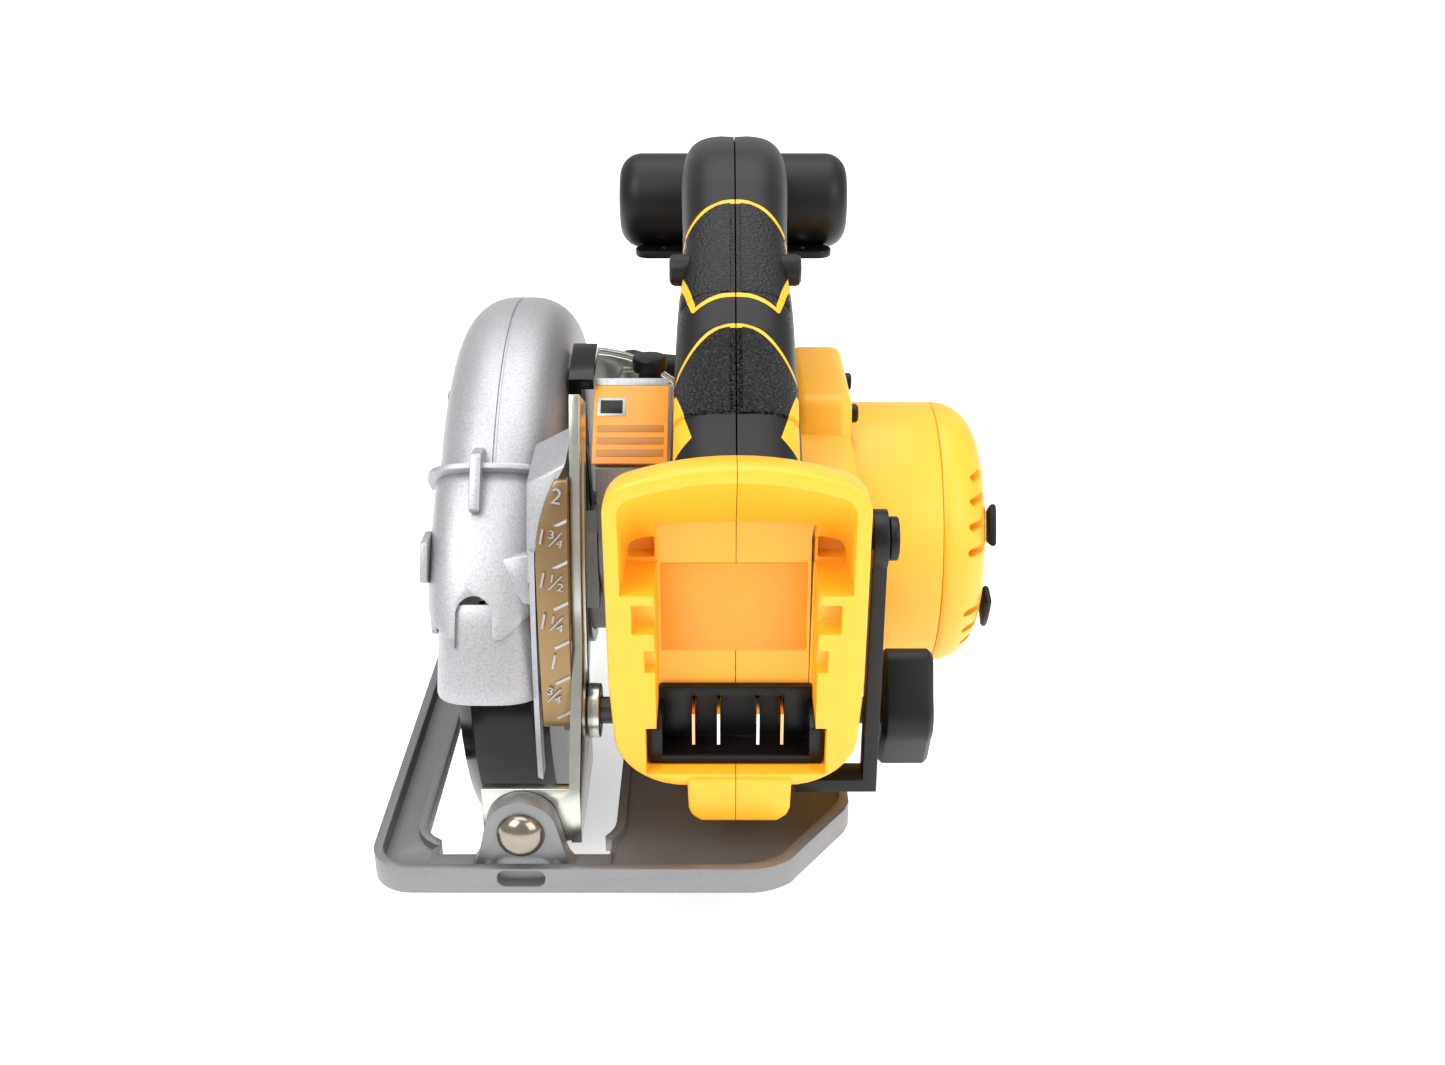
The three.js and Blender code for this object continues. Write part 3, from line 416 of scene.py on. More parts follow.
def handle_rubber():
    """Black handle with yellow inlay lines and grained grips between them."""
    made = Finish("handle_rubber")
    x, y, z = made.axes()
    along = (y * 1000.0 - BACK_START[0]) * BACK_RISE[0] + (z * 1000.0 - BACK_START[1]) * BACK_RISE[1]
    side = (x * 1000.0).size()
    dip = side * side
    upper = along - 92.3 + dip * 0.046
    flat = (along - 56.7 + dip * 0.034).size()
    notch = (side - 11.6 - (along - 52.0) * 0.29).size()
    lower = along - 45.7 + dip * 0.060
    line_upper = upper.size().below(0.80)
    line_middle = flat.below(0.75) * side.below(11.9)
    line_step = notch.below(0.85) * along.above(51.6) * along.below(67.0) * side.above(11.4)
    line_lower = lower.size().below(0.75) * along.above(24.0)
    wedge = (side - 16.2 + (24.0 - along) * 0.29).above(0.0) * along.below(24.2)
    wedge = wedge * side.below(16.9) * (along - 9.0 + (side - 11.7) * 0.94).above(0.0)
    inlay = (line_upper + line_middle + line_step + line_lower + wedge).above(0.5)
    band = upper.below(0.0) * (along - 56.7 + dip * 0.034).above(0.0)
    pad = lower.below(0.0) * along.above(15.5)
    grained = (band * 0.35 + pad) * (1.0 - inlay)
    cloud = made.noise(70, 4)
    black = made.blend(cloud, (0.003, 0.003, 0.0033), (0.0055, 0.0055, 0.006))
    made.colour(made.blend(inlay, black, (0.90, 0.42, 0.02)))
    pebble = made.cells(1150)
    fine = made.noise(2800, 2)
    made.varying("Roughness", fine * 0.08 + 0.38 - grained * 0.06)
    made.bump(pebble * grained * 1.0 + fine * 0.08 - inlay * 0.5, 0.9, 0.0009)
    made.fixed(Specular_IOR_Level=0.3)
    return made.material


YELLOW = moulded_plastic("yellow_plastic", (0.90, 0.415, 0.018), 0.42, grain=0.10, spread=0.04)
BLACK = moulded_plastic(
    "black_plastic", (0.0045, 0.0045, 0.005), 0.42, grain=0.16, grain_scale=1800, sheen=0.26,
)
SMOOTH_BLACK = moulded_plastic("smooth_black", (0.004, 0.004, 0.0045), 0.34, grain=0.06, sheen=0.25)
GLOSS = moulded_plastic("gloss_black", (0.003, 0.003, 0.0033), 0.2, grain=0.02, spread=0.2, sheen=0.24)
PAINTED = moulded_plastic("black_coat", (0.004, 0.004, 0.0045), 0.38, grain=0.2, grain_scale=1400, sheen=0.28)
RUBBER = handle_rubber()
SILVER = metal("silver_paint", (0.33, 0.335, 0.345), 0.46, metallic=0.66, spread=0.05, speck=0.42)
SHOE = metal("shoe_alloy", (0.20, 0.20, 0.205), 0.46, metallic=0.7, spread=0.10, speck=0.12)
ZINC = metal("zinc_plate", (0.48, 0.485, 0.44), 0.24, spread=0.22, scale=90)
STEEL = metal("polished_steel", (0.27, 0.24, 0.20), 0.20, spread=0.18, scale=160)
BLADE = metal("blade_steel", (0.50, 0.50, 0.50), 0.30, spread=0.10)
DARK = metal("dark_steel", (0.06, 0.06, 0.065), 0.40, metallic=0.9, spread=0.2)
BRONZE = metal("bronze_plate", (0.27, 0.18, 0.09), 0.36, metallic=0.9, spread=0.12)
COPPER = metal("copper_contact", (0.75, 0.38, 0.20), 0.25, spread=0.1)
CONTACT = metal("plated_contact", (0.66, 0.66, 0.66), 0.22, spread=0.1)
AMBER = label("amber_label", (0.90, 0.32, 0.022))
RULES = label("label_rules", (0.50, 0.19, 0.02))


# ------------------------------------------------------------------ shoe
# The line both bevel rivets lie on.
RIVET_X = -59.3
RIVET_Z = 16.5


def shoe():
    low, high = (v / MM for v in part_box("shoe"))
    opening = (-89.4, -34.5, -116.0, 112.0)

    def outline(inset, corner):
        left, right, rear, front = low.x + inset, high.x - inset, low.y + inset, high.y - inset
        cut = inset * 0.5
        return (
            arc(left + corner, rear + corner, corner, 180, 270, 8)
            + [(right - 31, rear)]
            + arc(right - 30, rear + 18, 18, 276, 312, 4)
            + [(right - 15.4 + cut * 0.2, rear + 8.4), (right - 1.5, rear + 28), (right, rear + 32)]
            + arc(right - corner, front - corner, corner, 0, 90, 8)
            + arc(left + corner, front - corner, corner, 90, 180, 8)
        )

    made = plate("shoe_body", "z", outline(0, 12), 0, 8)
    carve(made, plate("well", "z", outline(2.6, 9.4), 3, 20))
    left, right, rear, front = opening
    lip = 2.6
    around = rounded(left - lip, right + lip, rear - lip, front + lip, 10 + lip)
    fuse(made, plate("lip", "z", around, 0.5, 5.4))
    fuse(made, plate("rear_web", "z", rounded(-86, -35, -131, -117.2, 3), 0.5, 5.2))
    foot, reach = 3.5, 19
    ear = (
        arc(RIVET_X + reach, foot + 7, 7, 270, 192, 5)
        + arc(RIVET_X, RIVET_Z, 10.2, 8, 172, 16)
        + arc(RIVET_X - reach, foot + 7, 7, -12, -90, 5)
    )
    fuse(made, plate("ear", "y", ear, -127.6, -121.8))
    carve(made, plate("opening", "z", rounded(*opening, 10), -5, 40))
    carve(made, block("clearance", (-84, -121.3, -2), (-35.5, -113, 40)))
    carve(made, plate("pocket", "y", rounded(-66, -52.6, 2.2, 7.6, 2.4), -134, -128.6))
    for x in (-68.5, -50.2):
        fuse(made, rod("post", "y", x, 6.2, 1.7, -131.2, -127.0, sides=20))
    carve(made, rod("bore", "y", RIVET_X, RIVET_Z, 3.5, -130, -120, sides=32))
    for x, y in ((14, -60), (14, 20), (14, 100)):
        dish = [(0, 2.5), (11, 2.5), (10, 3.7), (7.6, 3.7), (7, 3.3), (0, 3.3)]
        fuse(made, spun("dish", "z", x, y, dish, 32))
    tidy_normals(made)
    round_edges(made, 0.55, 2)
    finished(made, "shoe", "shoe_alloy", SHOE, "shoe")


def rivet(name, node, out):
    low, high = (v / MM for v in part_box(node))
    back, front = (low.y, high.y) if out < 0 else (high.y, low.y)
    wide, tall, shank = 6.7, 4.6, 3.2
    base = back - out * tall
    head = [(0, back)] + [
        (wide * math.sin(math.radians(t)), base + out * tall * math.cos(math.radians(t)))
        for t in range(8, 91, 8)
    ] + [(wide, base - out * 0.1), (shank, base - out * 0.1), (shank, front), (0, front)]
    made = spun(name, "y", RIVET_X, RIVET_Z, head, 56)
    tidy_normals(made)
    finished(made, "shoe", "rivet_steel", STEEL, node)


# ------------------------------------------------------------------ guards
ARBOR_Z = 36
HINGE = (117.0, 28.0)
GUARD_RADIUS = 92.0
GUARD_LEFT = -88.0
GUARD_RIGHT = -51.7
GUARD_ROUND = 15.0
GUARD_WALL = 2.1
GUARD_SEAM = -69.85


def guard_profile(inset):
    """The tunnel's section, down to the arbor on both walls, with a groove at its seam."""
    radius, curve = GUARD_RADIUS - inset, GUARD_ROUND - inset
    left, right = GUARD_LEFT + inset, GUARD_RIGHT - inset
    turn = radius - curve
    groove = [
        (radius, GUARD_SEAM - 0.55), (radius - 0.55, GUARD_SEAM - 0.3),
        (radius - 0.55, GUARD_SEAM + 0.3), (radius, GUARD_SEAM + 0.55),
    ]
    return (
        [(0, left), (turn, left)]
        + arc(turn, left + curve, curve, -80, -10, 7)
        + [(radius, left + curve)] + groove + [(radius, right - curve)]
        + arc(turn, right - curve, curve, 10, 80, 7)
        + [(turn, right), (0, right)]
    )


def upper_guard():
    inner = guard_profile(GUARD_WALL)
    made = spun("guard_shell", "x", 0, ARBOR_Z, guard_profile(0.0), 120)
    carve(made, spun("hollow", "x", 0, ARBOR_Z, inner, 120))
    below = [(-130, 52), (-60, 52), (-40, 30), (130, 30), (130, -80), (-130, -80)]
    carve(made, plate("below", "x", below, -90, -50))
    lug = plate("lug", "x", [(84, 60), (84, 24)] + arc(*HINGE, 7, 270, 450, 12) + [(100, 50)], -68.9, -52.3)
    carve(lug, spun("hollow_again", "x", 0, ARBOR_Z, inner, 96))
    fuse(made, lug)
    fuse(made, block("pad", (-53, -46, 44), (-42.6, -29, 70)))
    carve(made, rod("hub_hole", "x", 0, ARBOR_Z, 27.5, -60, -42, sides=64))
    carve(made, rod("pin_hole", "x", *HINGE, 3.3, -90, -40, sides=24))
    carve(made, block("window", (-82, -110, 40), (-57.7, -70, 96)))
    tidy_normals(made)
    finished(made, "saw_body", "cast_metal", SILVER, "upper_guard")
    for y, z in ((-56, 62), (-20, 104), (34, 100), (70, 52)):
        head = [(0, -89.7), (3.2, -89.7), (3.8, -89.1), (3.8, -87.9), (0, -87.9)]
        screw = spun("guard_screw_%d" % z, "x", y, z, head, 28)
        tidy_normals(screw)
        carve(screw, rod("drive", "x", y, z, 1.6, -91, -88.7, sides=6))
        finished(screw, "saw_body", "rivet_steel", STEEL)


CHUTE_X = -70.6


def ring_of(x, *points):
    """A closed loop of points across one place in x."""
    return [(x, y, z) for y, z in points + points[:1]]


def radial_rows(stations, half_left, half_right, deep, wall):
    """Rows of a U-shaped wall standing in planes through the arbor, from one turn to the next."""
    drop = 16.0
    rows = []
    for turn, radius, squeeze in stations:
        outer, inner = [], []
        for t in range(0, 181, 9):
            a = math.radians(t)
            c, s = math.cos(a), math.sin(a)
            bulge = math.copysign(abs(c) ** 0.66, c)
            rise = s ** 0.66 if s > 1e-9 else 0.0
            half = (half_left if c < 0 else half_right) * squeeze
            outer.append((CHUTE_X + bulge * half, radius - drop + drop * rise))
            inner.append((CHUTE_X + bulge * (half - wall), radius - drop + (drop - wall) * rise))
        loop = [(outer[0][0], deep)] + outer + [(outer[-1][0], deep)]
        loop += [(inner[-1][0], deep)] + inner[::-1] + [(inner[0][0], deep)]
        loop.append(loop[0])
        u = math.radians(turn)
        rows.append([(x, r * math.cos(u), ARBOR_Z + r * math.sin(u)) for x, r in loop])
    return rows


def chute():
    """The chute that leaves the guard: a flange ring, a sleeve with two lobes round an arch, and a liner."""
    ring = skin("chute_ring", radial_rows([(137.0, 97.0, 1.0), (135.9, 97.0, 1.0)], 19.6, 18.4, 78, 9.0))
    round_edges(ring, 0.35, 2, 50)
    finished(ring, "saw_body", "cast_metal", SILVER)

    stations = []
    for i in range(16):
        part = i / 15
        stations.append((137 + i * 2.0, 93.6 + 9.6 * part ** 1.15, 1 + 0.012 * math.sin(part * math.pi)))
    made = skin("chute_sleeve", radial_rows(stations, 17.6, 16.4, 70, 1.6))
    arch = [(-79.2, 50), (-67.8, 50), (-68.3, 67)] + arc(-73.5, 67.3, 5.3, 8, 172, 10) + [(-78.7, 67)]
    carve(made, plate("arch", "y", arch, -120, -86))
    left_toe = [(-100, 50), (-79.0, 50), (-79.0, 61.6), (-81, 61.8), (-88.5, 66), (-100, 70)]
    carve(made, plate("left_toe", "y", left_toe, -120, -84))
    right_toe = [(-68.2, 50), (-40, 50), (-40, 76), (-53, 70), (-65.6, 62), (-68.2, 61.6)]
    carve(made, plate("right_toe", "y", right_toe, -120, -84))
    tidy_normals(made)
    round_edges(made, 0.45, 2, 50)
    finished(made, "saw_body", "cast_metal", SILVER, "dust_chute")

    ramp = skin("chute_ramp", [
        ring_of(-68.5, (-80, 80.5), (-86.6, 80.5), (-87.2, 79.4), (-80, 79.4)),
        ring_of(-62.0, (-78, 82), (-87.5, 82), (-93.0, 71), (-80, 69)),
        ring_of(-54.2, (-76, 82.5), (-86.0, 82.5), (-93.0, 68), (-80, 65)),
    ])
    round_edges(ramp, 0.6, 2, 30)
    finished(ramp, "saw_body", "cast_metal", SILVER)

    bent = [(-62, 105), (-70.5, 106.4), (-74.4, 101.2), (-80.6, 93.4), (-78.6, 91.6), (-66, 98)]
    key = plate("chute_key", "x", bent, -75.6, -72.4)
    round_edges(key, 0.5, 2, 40)
    finished(key, "saw_body", "cast_metal", SILVER)
    tab = plate("chute_tab", "x", [(-74, 84), (-83, 84), (-88, 74), (-84, 72), (-76, 76)], -89.6, -87.4)
    round_edges(tab, 0.5, 2, 40)
    finished(tab, "saw_body", "cast_metal", SILVER)

    stations = [(160 + i * 2.65, 99.8 + 5.0 * i / 6, 0.93 + 0.012 * i) for i in range(7)]
    liner = skin("chute_tube", radial_rows(stations, 15.4, 16.2, 74, 1.6))
    tidy_normals(liner)
    round_edges(liner, 0.35, 2, 50)
    finished(liner, "saw_body", "cast_metal", SILVER, "chute_liner")


SCALE_RADIUS = 220.6


def round_hinge(height, radius):
    """The place along y on an arc round the depth hinge, at a height."""
    return HINGE[0] - math.sqrt(radius ** 2 - (height - HINGE[1]) ** 2)


def scale():
    """The curved depth scale with raised marks and numbers."""
    heights = [36 + 2 * i for i in range(36)]
    rows = []
    for z in heights:
        part = max(0.0, (z - 84) / 22)
        left = -55.4 + 0.8 * (1 - (z - 36) / 48 if z < 84 else 0) + 5.6 * part ** 2.2
        y = round_hinge(z, SCALE_RADIUS)
        front = round_hinge(z, SCALE_RADIUS - 3.4)
        rows.append([(left, y, z), (-46.2, y, z), (-46.2, front, z), (left, front, z), (left, y, z)])
    made = skin("scale_plate", rows)
    round_edges(made, 0.4, 2, 40)
    finished(made, "saw_body", "scale_bronze", BRONZE, "depth_scale")
    web_rows = []
    for z in [18 + 3 * i for i in range(24)]:
        y = round_hinge(z, SCALE_RADIUS - 0.4)
        loop = [(-57.2, y + 1.0, z), (-55.6, y - 0.2, z), (-55.6, y + 6, z), (-57.2, y + 6, z)]
        web_rows.append(loop + loop[:1])
    web = skin("scale_web", web_rows)
    finished(web, "saw_body", "cast_metal", SILVER)
    shoulder = skin("scale_shoulder", [
        [(-58, -86, 104), (-58, -62, 106), (-46.6, -62, 112), (-46.6, -86.5, 110), (-58, -86, 104)],
        [(-58, -91, 92), (-58, -70, 92), (-50.4, -70, 100), (-50.0, -88.6, 103.5), (-58, -91, 92)],
        [(-58, -97, 76), (-58, -80, 76), (-55.2, -80, 80), (-55.2, -96, 84), (-58, -97, 76)],
    ])
    round_edges(shoulder, 0.8, 2, 40)
    finished(shoulder, "saw_body", "cast_metal", SILVER)
    marks = None
    for z in (95.8, 84.8, 73.5, 62.4, 51.9, 41.1):
        y = round_hinge(z, SCALE_RADIUS)
        slant = [(-50.6, z - 1.7), (-50.3, z - 2.5), (-46.4, z - 0.4), (-46.4, z + 0.5)]
        bar = plate("mark", "y", slant, y - 0.5, y + 0.3)
        marks = fuse(marks, bar) if marks else bar
    marks.name = "scale_marks"
    finished(marks, "saw_body", "cast_metal", SILVER)
    labels = (
        ("2", 102.0), ("1\u00be", 91.0), ("1\u00bd", 79.2),
        ("1\u00bc", 67.7), ("1", 56.4), ("\u00be", 46.2),
    )
    for i, (text, z) in enumerate(labels):
        y = round_hinge(z, SCALE_RADIUS)
        lean = math.asin((z - HINGE[1]) / SCALE_RADIUS)
        bpy.ops.object.text_add(
            location=((-50.9 if z < 95 else -49.2) * MM, (y - 0.45) * MM, z * MM),
            rotation=(math.pi / 2 - lean, math.radians(12), 0),
        )
        number = bpy.context.object
        number.data.body = text
        number.data.size = 6.2 * MM
        number.data.extrude = 0.4 * MM
        number.data.align_x = "CENTER"
        number.data.align_y = "CENTER"
        bpy.ops.object.convert(target="MESH")
        number = bpy.context.object
        number.name = "scale_number_%d" % i
        tidy_normals(number)
        finished(number, "saw_body", "cast_metal", SILVER)


# ------------------------------------------------------------------ handle
# (top y, top z), (underside y, underside z), half width: sections along the handle.
SECTIONS = (
    (-106.0, 119.4, -87.0, 90.4, 17.9), (-98, 124.5, -80, 95.5, 17.9), (-90, 130, -71, 101, 17.7),
    (-75, 139.8, -56, 110.5, 17.2), (-58, 151, -40, 120.5, 16.7), (-42, 161, -24, 130, 15.6),
    (-30, 169, -10, 138, 15.6), (-20, 175.5, 0, 143.5, 16), (-8, 179.6, 8, 146.5, 16.3),
    (8, 180, 16, 147, 16.3), (26, 177.5, 27, 144, 16.3), (44, 171, 37, 139, 16.3), (60, 160, 43, 131, 16.3),
    (71, 145, 45, 122, 16.2), (73.6, 130, 45, 115, 16), (73.6, 111, 45, 111, 16),
)
FINE = 6
LOCK_BUTTON = (-42, 152)
POMMEL = (56, 150)
POMMEL_RADIUS = 16
POMMEL_HALF = 39
POMMEL_ROUND = 7.5


def section_at(place):
    """The handle's section at a place along it, blended smoothly between the ones above."""
    i = min(int(place), len(SECTIONS) - 2)
    t = place - i
    p0, p1 = SECTIONS[max(i - 1, 0)], SECTIONS[i]
    p2, p3 = SECTIONS[i + 1], SECTIONS[min(i + 2, len(SECTIONS) - 1)]
    return [
        0.5 * (2 * b + (c - a) * t + (2 * a - 5 * b + 4 * c - d) * t * t + (3 * b - a - 3 * c + d) * t ** 3)
        for a, b, c, d in zip(p0, p1, p2, p3)
    ]


def on_handle(place, turn, proud=0.0):
    """A point on the handle's skin: turn 0 is the right side, 90 the top."""
    ty, tz, by, bz, half = section_at(place)
    a = math.radians(turn)
    c, s = math.cos(a), math.sin(a)
    power = 2 / 3.3
    across = math.copysign(abs(c) ** power, c)
    rise = math.copysign(abs(s) ** power, s)
    tall = math.hypot(ty - by, tz - bz) / 2
    grow = (tall + proud) / tall
    my, mz = (ty + by) / 2, (tz + bz) / 2
    return (across * (half + proud), my + (ty - by) / 2 * rise * grow, mz + (tz - bz) / 2 * rise * grow)


def handle_half(side):
    rows = []
    for i in range((len(SECTIONS) - 1) * FINE + 1):
        row = []
        for t in range(-90, 91, 6):
            x, y, z = on_handle(i / FINE, t)
            groove = 0.35 if abs(t) == 90 else 0.0
            x = max(abs(x), 0.12 + groove * 0.3)
            row.append((side * x, y + groove * (0 if t < 0 else 0.4), z - groove * (0.8 if t > 0 else 0)))
        row += [(side * 0.12, row[-1][1], row[-1][2] - 0.3), (side * 0.12, row[0][1], row[0][2] + 0.3), row[0]]
        rows.append(row)
    name = "left" if side < 0 else "right"
    made = skin("grip_" + name, rows)
    carve(made, rod("pommel_way", "x", *POMMEL, POMMEL_RADIUS + 0.3, -60, 60, sides=64))
    carve(made, rod("button_way", "x", *LOCK_BUTTON, 5.2, -40, 40, sides=32))
    tidy_normals(made)
    finished(made, "saw_body", "black_plastic", RUBBER, "handle_" + name)


def grip_pad(name, first, last, widest, proud, side, drop):
    """A pad of grained rubber standing proud of the handle between two curved edges."""
    rows = []
    steps, lanes = 26, 13
    for j in range(lanes + 1):
        part = j / lanes
        t = 90 - side * (1.2 + (widest - 1.2) * part)
        low = first - drop[0] * part ** 2
        high = last - drop[1] * part ** 2
        outer, inner = [], []
        for i in range(steps + 1):
            place = low + (high - low) * i / steps
            edge = min(i, steps - i) / 1.5
            lift = proud * min(1.0, 0.25 + edge) * min(1.0, 0.3 + (lanes - j) / 1.5)
            outer.append(on_handle(place, t, lift))
            inner.append(on_handle(place, t, -1.0))
        rows.append(outer + inner[::-1] + [outer[0]])
    made = skin(name, rows)
    finished(made, "saw_body", "black_plastic", RUBBER)


def place_for(v):
    """The place along the handle whose top lies at a distance up its straight back."""
    for i in range(0, 700):
        ty, tz = section_at(i / 100)[:2]
        if (ty - BACK_START[0]) * BACK_RISE[0] + (tz - BACK_START[1]) * BACK_RISE[1] >= v:
            return i / 100
    return 7.0


def handle():
    for side in (-1, 1):
        handle_half(side)
        name = "left" if side < 0 else "right"
        grip_pad("pad_lower_" + name, place_for(16), place_for(45.0), 66, 0.8, side, (0.0, 1.0))
        grip_pad("pad_upper_" + name, place_for(57.6), place_for(91.4), 62, 0.5, side, (0.1, 0.55))
        shape = ((0, 19.0), (3.4, 19.0), (4.3, 18.4), (4.6, 17.4), (4.6, 9), (0, 9))
        button = spun("lock_button_" + name, "x", *LOCK_BUTTON, [(r, side * out) for r, out in shape], 36)
        finished(button, "lock_off_button", "black_plastic", BLACK, "lock_off_button")
    turn, end = POMMEL_RADIUS - POMMEL_ROUND, POMMEL_HALF - POMMEL_ROUND
    profile = (
        [(0, -POMMEL_HALF)] + arc(turn, -end, POMMEL_ROUND, -90, 0, 9)
        + arc(turn, end, POMMEL_ROUND, 0, 90, 9) + [(0, POMMEL_HALF)]
    )
    pommel = spun("front_grip", "x", *POMMEL, profile, 72)
    finished(pommel, "saw_body", "black_plastic", BLACK, "front_pommel")
    bar = plate("front_bar", "z", rounded(-33.5, 33.5, 37.5, 48, 5, 6), 134.2, 136.8)
    for x in (-24.5, 24.5):
        carve(bar, rod("eye", "z", x, 42.5, 1.6, 120, 140, sides=20))
    round_edges(bar, 0.5, 2, 40)
    finished(bar, "saw_body", "black_paint", PAINTED)


# ------------------------------------------------------------------ housing
BAY_HALF = 34.5
BAY_FLOOR = 25.0
CORE_LEFT = -18.9
CORE_RIGHT = 36
MOTOR = (-12, 55)
MOTOR_BORE = 40


def oval(a, b, wide, tall, first, last, step):
    """Points round part of an oval, at turns of whole degrees."""
    turns = [math.radians(t) for t in range(first, last, step)]
    return [(a + wide * math.cos(t), b + tall * math.sin(t)) for t in turns]


def arched(start, crown, parts, last):
    """Points from a shoulder up over a crown at x 0, in equal steps."""
    x, z = start
    shares = [1 - k / parts for k in range(1, last)]
    return [(x * share, z + (crown - z) * (1 - share ** 2)) for share in shares]


def bay_section(top, inset):
    """The bay's outline across: round lower corners, sides that widen upward and an arched hood."""
    half, base, crown = BAY_HALF - inset, BAY_FLOOR + inset, top - inset
    shoulder = crown - 4.2
    right = oval(half - 20, base + 17, 19, 17, -90, 1, 9) + [(half, base + 34)]
    right += oval(half - 9, shoulder - 9, 9, 9, 0, 73, 9)
    right += arched(right[-1], crown, 6, 6)
    left = [(-x, z) for x, z in right]
    return right + [(0, crown)] + left[::-1]


def rim(z):
    """The rim leans back as it rises."""
    return -117.0 - 5.0 * (z - 26.0) / 97.0


def bay_row(top, inset, y, lean=True):
    """One section of the bay, set back from the rim, or square across at a place along y."""
    loop = [(x, rim(z) + y if lean else y, z) for x, z in bay_section(top, inset)]
    return loop + loop[:1]


def bay_shell():
    made = skin("bay", [
        bay_row(123, 1.1, 0.0), bay_row(123, 0.4, 0.25), bay_row(123.2, 0.0, 1.1), bay_row(123.2, 0.0, 5.0),
        bay_row(122.4, 0.0, -111.0, False), bay_row(120.0, 0.2, -105.5, False),
        bay_row(115.0, 0.5, -100, False), bay_row(104.0, 1.0, -92, False),
        bay_row(92.0, 2.0, -84, False), bay_row(86, 4.0, -79, False),
    ])
    top_cut = []
    for y, crown, half in ((-140, 119.4, 30.7), (-122, 119.4, 30.7), (-112, 109.5, 30.4), (-99, 96.5, 29.8)):
        side = oval(half - 5, crown - 9, 5, 5, 0, 73, 12)
        outline = [(-half, 86.4), (half, 86.4)] + side + arched(side[-1], crown, 5, 10)
        outline += [(-x, z) for x, z in side[::-1]]
        loop = [(x, y, z) for x, z in outline]
        top_cut.append(loop + loop[:1])
    hollow = skin("hollow", top_cut)
    carve(made, hollow)
    carve(made, block("channel", (-21.8, -140, 29.3), (21.8, -99, 100), 1.2))
    recesses = (
        # name, near x, far x, rear y, front y, low z, high z, rounding
        ("pocket", 22.2, 29.6, -101, -94, 87.6, 94.4, 0.8),
        ("latch", 21, 27.8, -140, -112, 74.6, 83.6, 0.5),
        ("step", 21, 24.6, -140, -114, 62.6, 69.6, 0.4),
        ("post_way", 21, 24.9, -140, -106, 29.3, 44.6, 0.3),
    )
    for side in (-1, 1):
        for name, near, far, rear, front, low, high, edge in recesses:
            left, right = sorted((side * near, side * far))
            carve(made, block(name, (left, rear, low), (right, front, high), edge))
    return made


def housing():
    body = bay_shell()
    tongue = [
        (-13.5, 28), (-13.2, 18.5), (-12.4, 16.2), (-9.6, 14.2),
        (11.6, 14.2), (14.4, 16.2), (15.2, 18.5), (15.5, 28),
    ]
    foot = plate("tongue", "y", tongue, -118.6, -104)
    round_edges(foot, 1.2, 3)
    fuse(body, foot)
    core = [(-86, 28), (-86, 86), (-70, 95), (-58, 100), (26, 100), (31, 92), (31, 30), (20, 20), (-50, 20)]
    step = [(-44, 84), (-36, 111), (16, 111), (26, 84)]
    post = [(20, 62), (20, 96), (42, 110), (72, 110), (64, 88), (40, 62)]
    for name, outline, left, right, edge, segments in (
        ("core", core, CORE_LEFT, CORE_RIGHT, 3.5, 4),
        ("barrel", circle(*MOTOR, MOTOR_BORE + 4, 96), CORE_LEFT, CORE_RIGHT, 2.5, 4),
        ("step", step, 18, CORE_RIGHT, 4, 5),
        ("front_post", post, CORE_LEFT, 16.4, 3, 4),
    ):
        part = plate(name, "x", outline, left, right)
        round_edges(part, edge, segments)
        fuse(body, part)
    carve(body, plate("motor_way", "x", circle(*MOTOR, MOTOR_BORE, 96), CORE_LEFT + 3, 40))
    carve(body, rod("shaft_way", "x", *MOTOR, 9.6, -30, -10))
    tidy_normals(body)
    for side, name, nodes in (
        (-1, "left", ["housing_left"]), (1, "right", ["housing_right", "motor_collar"]),
    ):
        take(body)
        bpy.ops.object.duplicate()
        half = bpy.context.object
        half.name = "shell_" + name
        low, high = sorted((side * 0.1, side * 60))
        keep_inside(half, block("half", (low, -200, -50), (high, 200, 300)))
        tidy_normals(half)
        round_edges(half, 0.5, 2, 40)
        finished(half, "saw_body", "yellow_plastic", YELLOW, *nodes)
    bpy.data.objects.remove(body)

    field = block("bay_label", (-20.7, -99.25, 58.7), (19.6, -98.9, 85.8), 0.1)
    finished(field, "saw_body", "amber_label", AMBER, "rating_plate")


def case_screws():
    for i, (y, z) in enumerate(((-2, 104), (-30, 103.5))):
        head = [(0, 38.2), (2.2, 38.2), (2.9, 37.6), (2.9, 35), (0, 35)]
        screw = spun("case_screw_%d" % i, "x", y, z, head, 28)
        carve(screw, rod("drive", "x", y, z, 1.3, 37.2, 40, sides=6))
        tidy_normals(screw)
        finished(screw, "saw_body", "black_plastic", SMOOTH_BLACK)


def terminals():
    made = from_frame("contact_block", "terminal_block", 0.35)
    finished(made, "saw_body", "black_plastic", SMOOTH_BLACK, "terminal_block")
    for side in (-1, 1):
        low, high = sorted((side * 20.4, side * 24.2))
        outline = [(-112.5, 29.6), (-112.5, 41), (-109, 44), (-100, 44), (-100, 29.6)]
        post = plate("block_post", "x", outline, low, high)
        round_edges(post, 0.5, 2)
        finished(post, "saw_body", "black_plastic", SMOOTH_BLACK)
    sill = block("block_sill", (-21.2, -112.6, 29.6), (21.2, -109.6, 32.4), 0.5)
    finished(sill, "saw_body", "black_plastic", SMOOTH_BLACK)


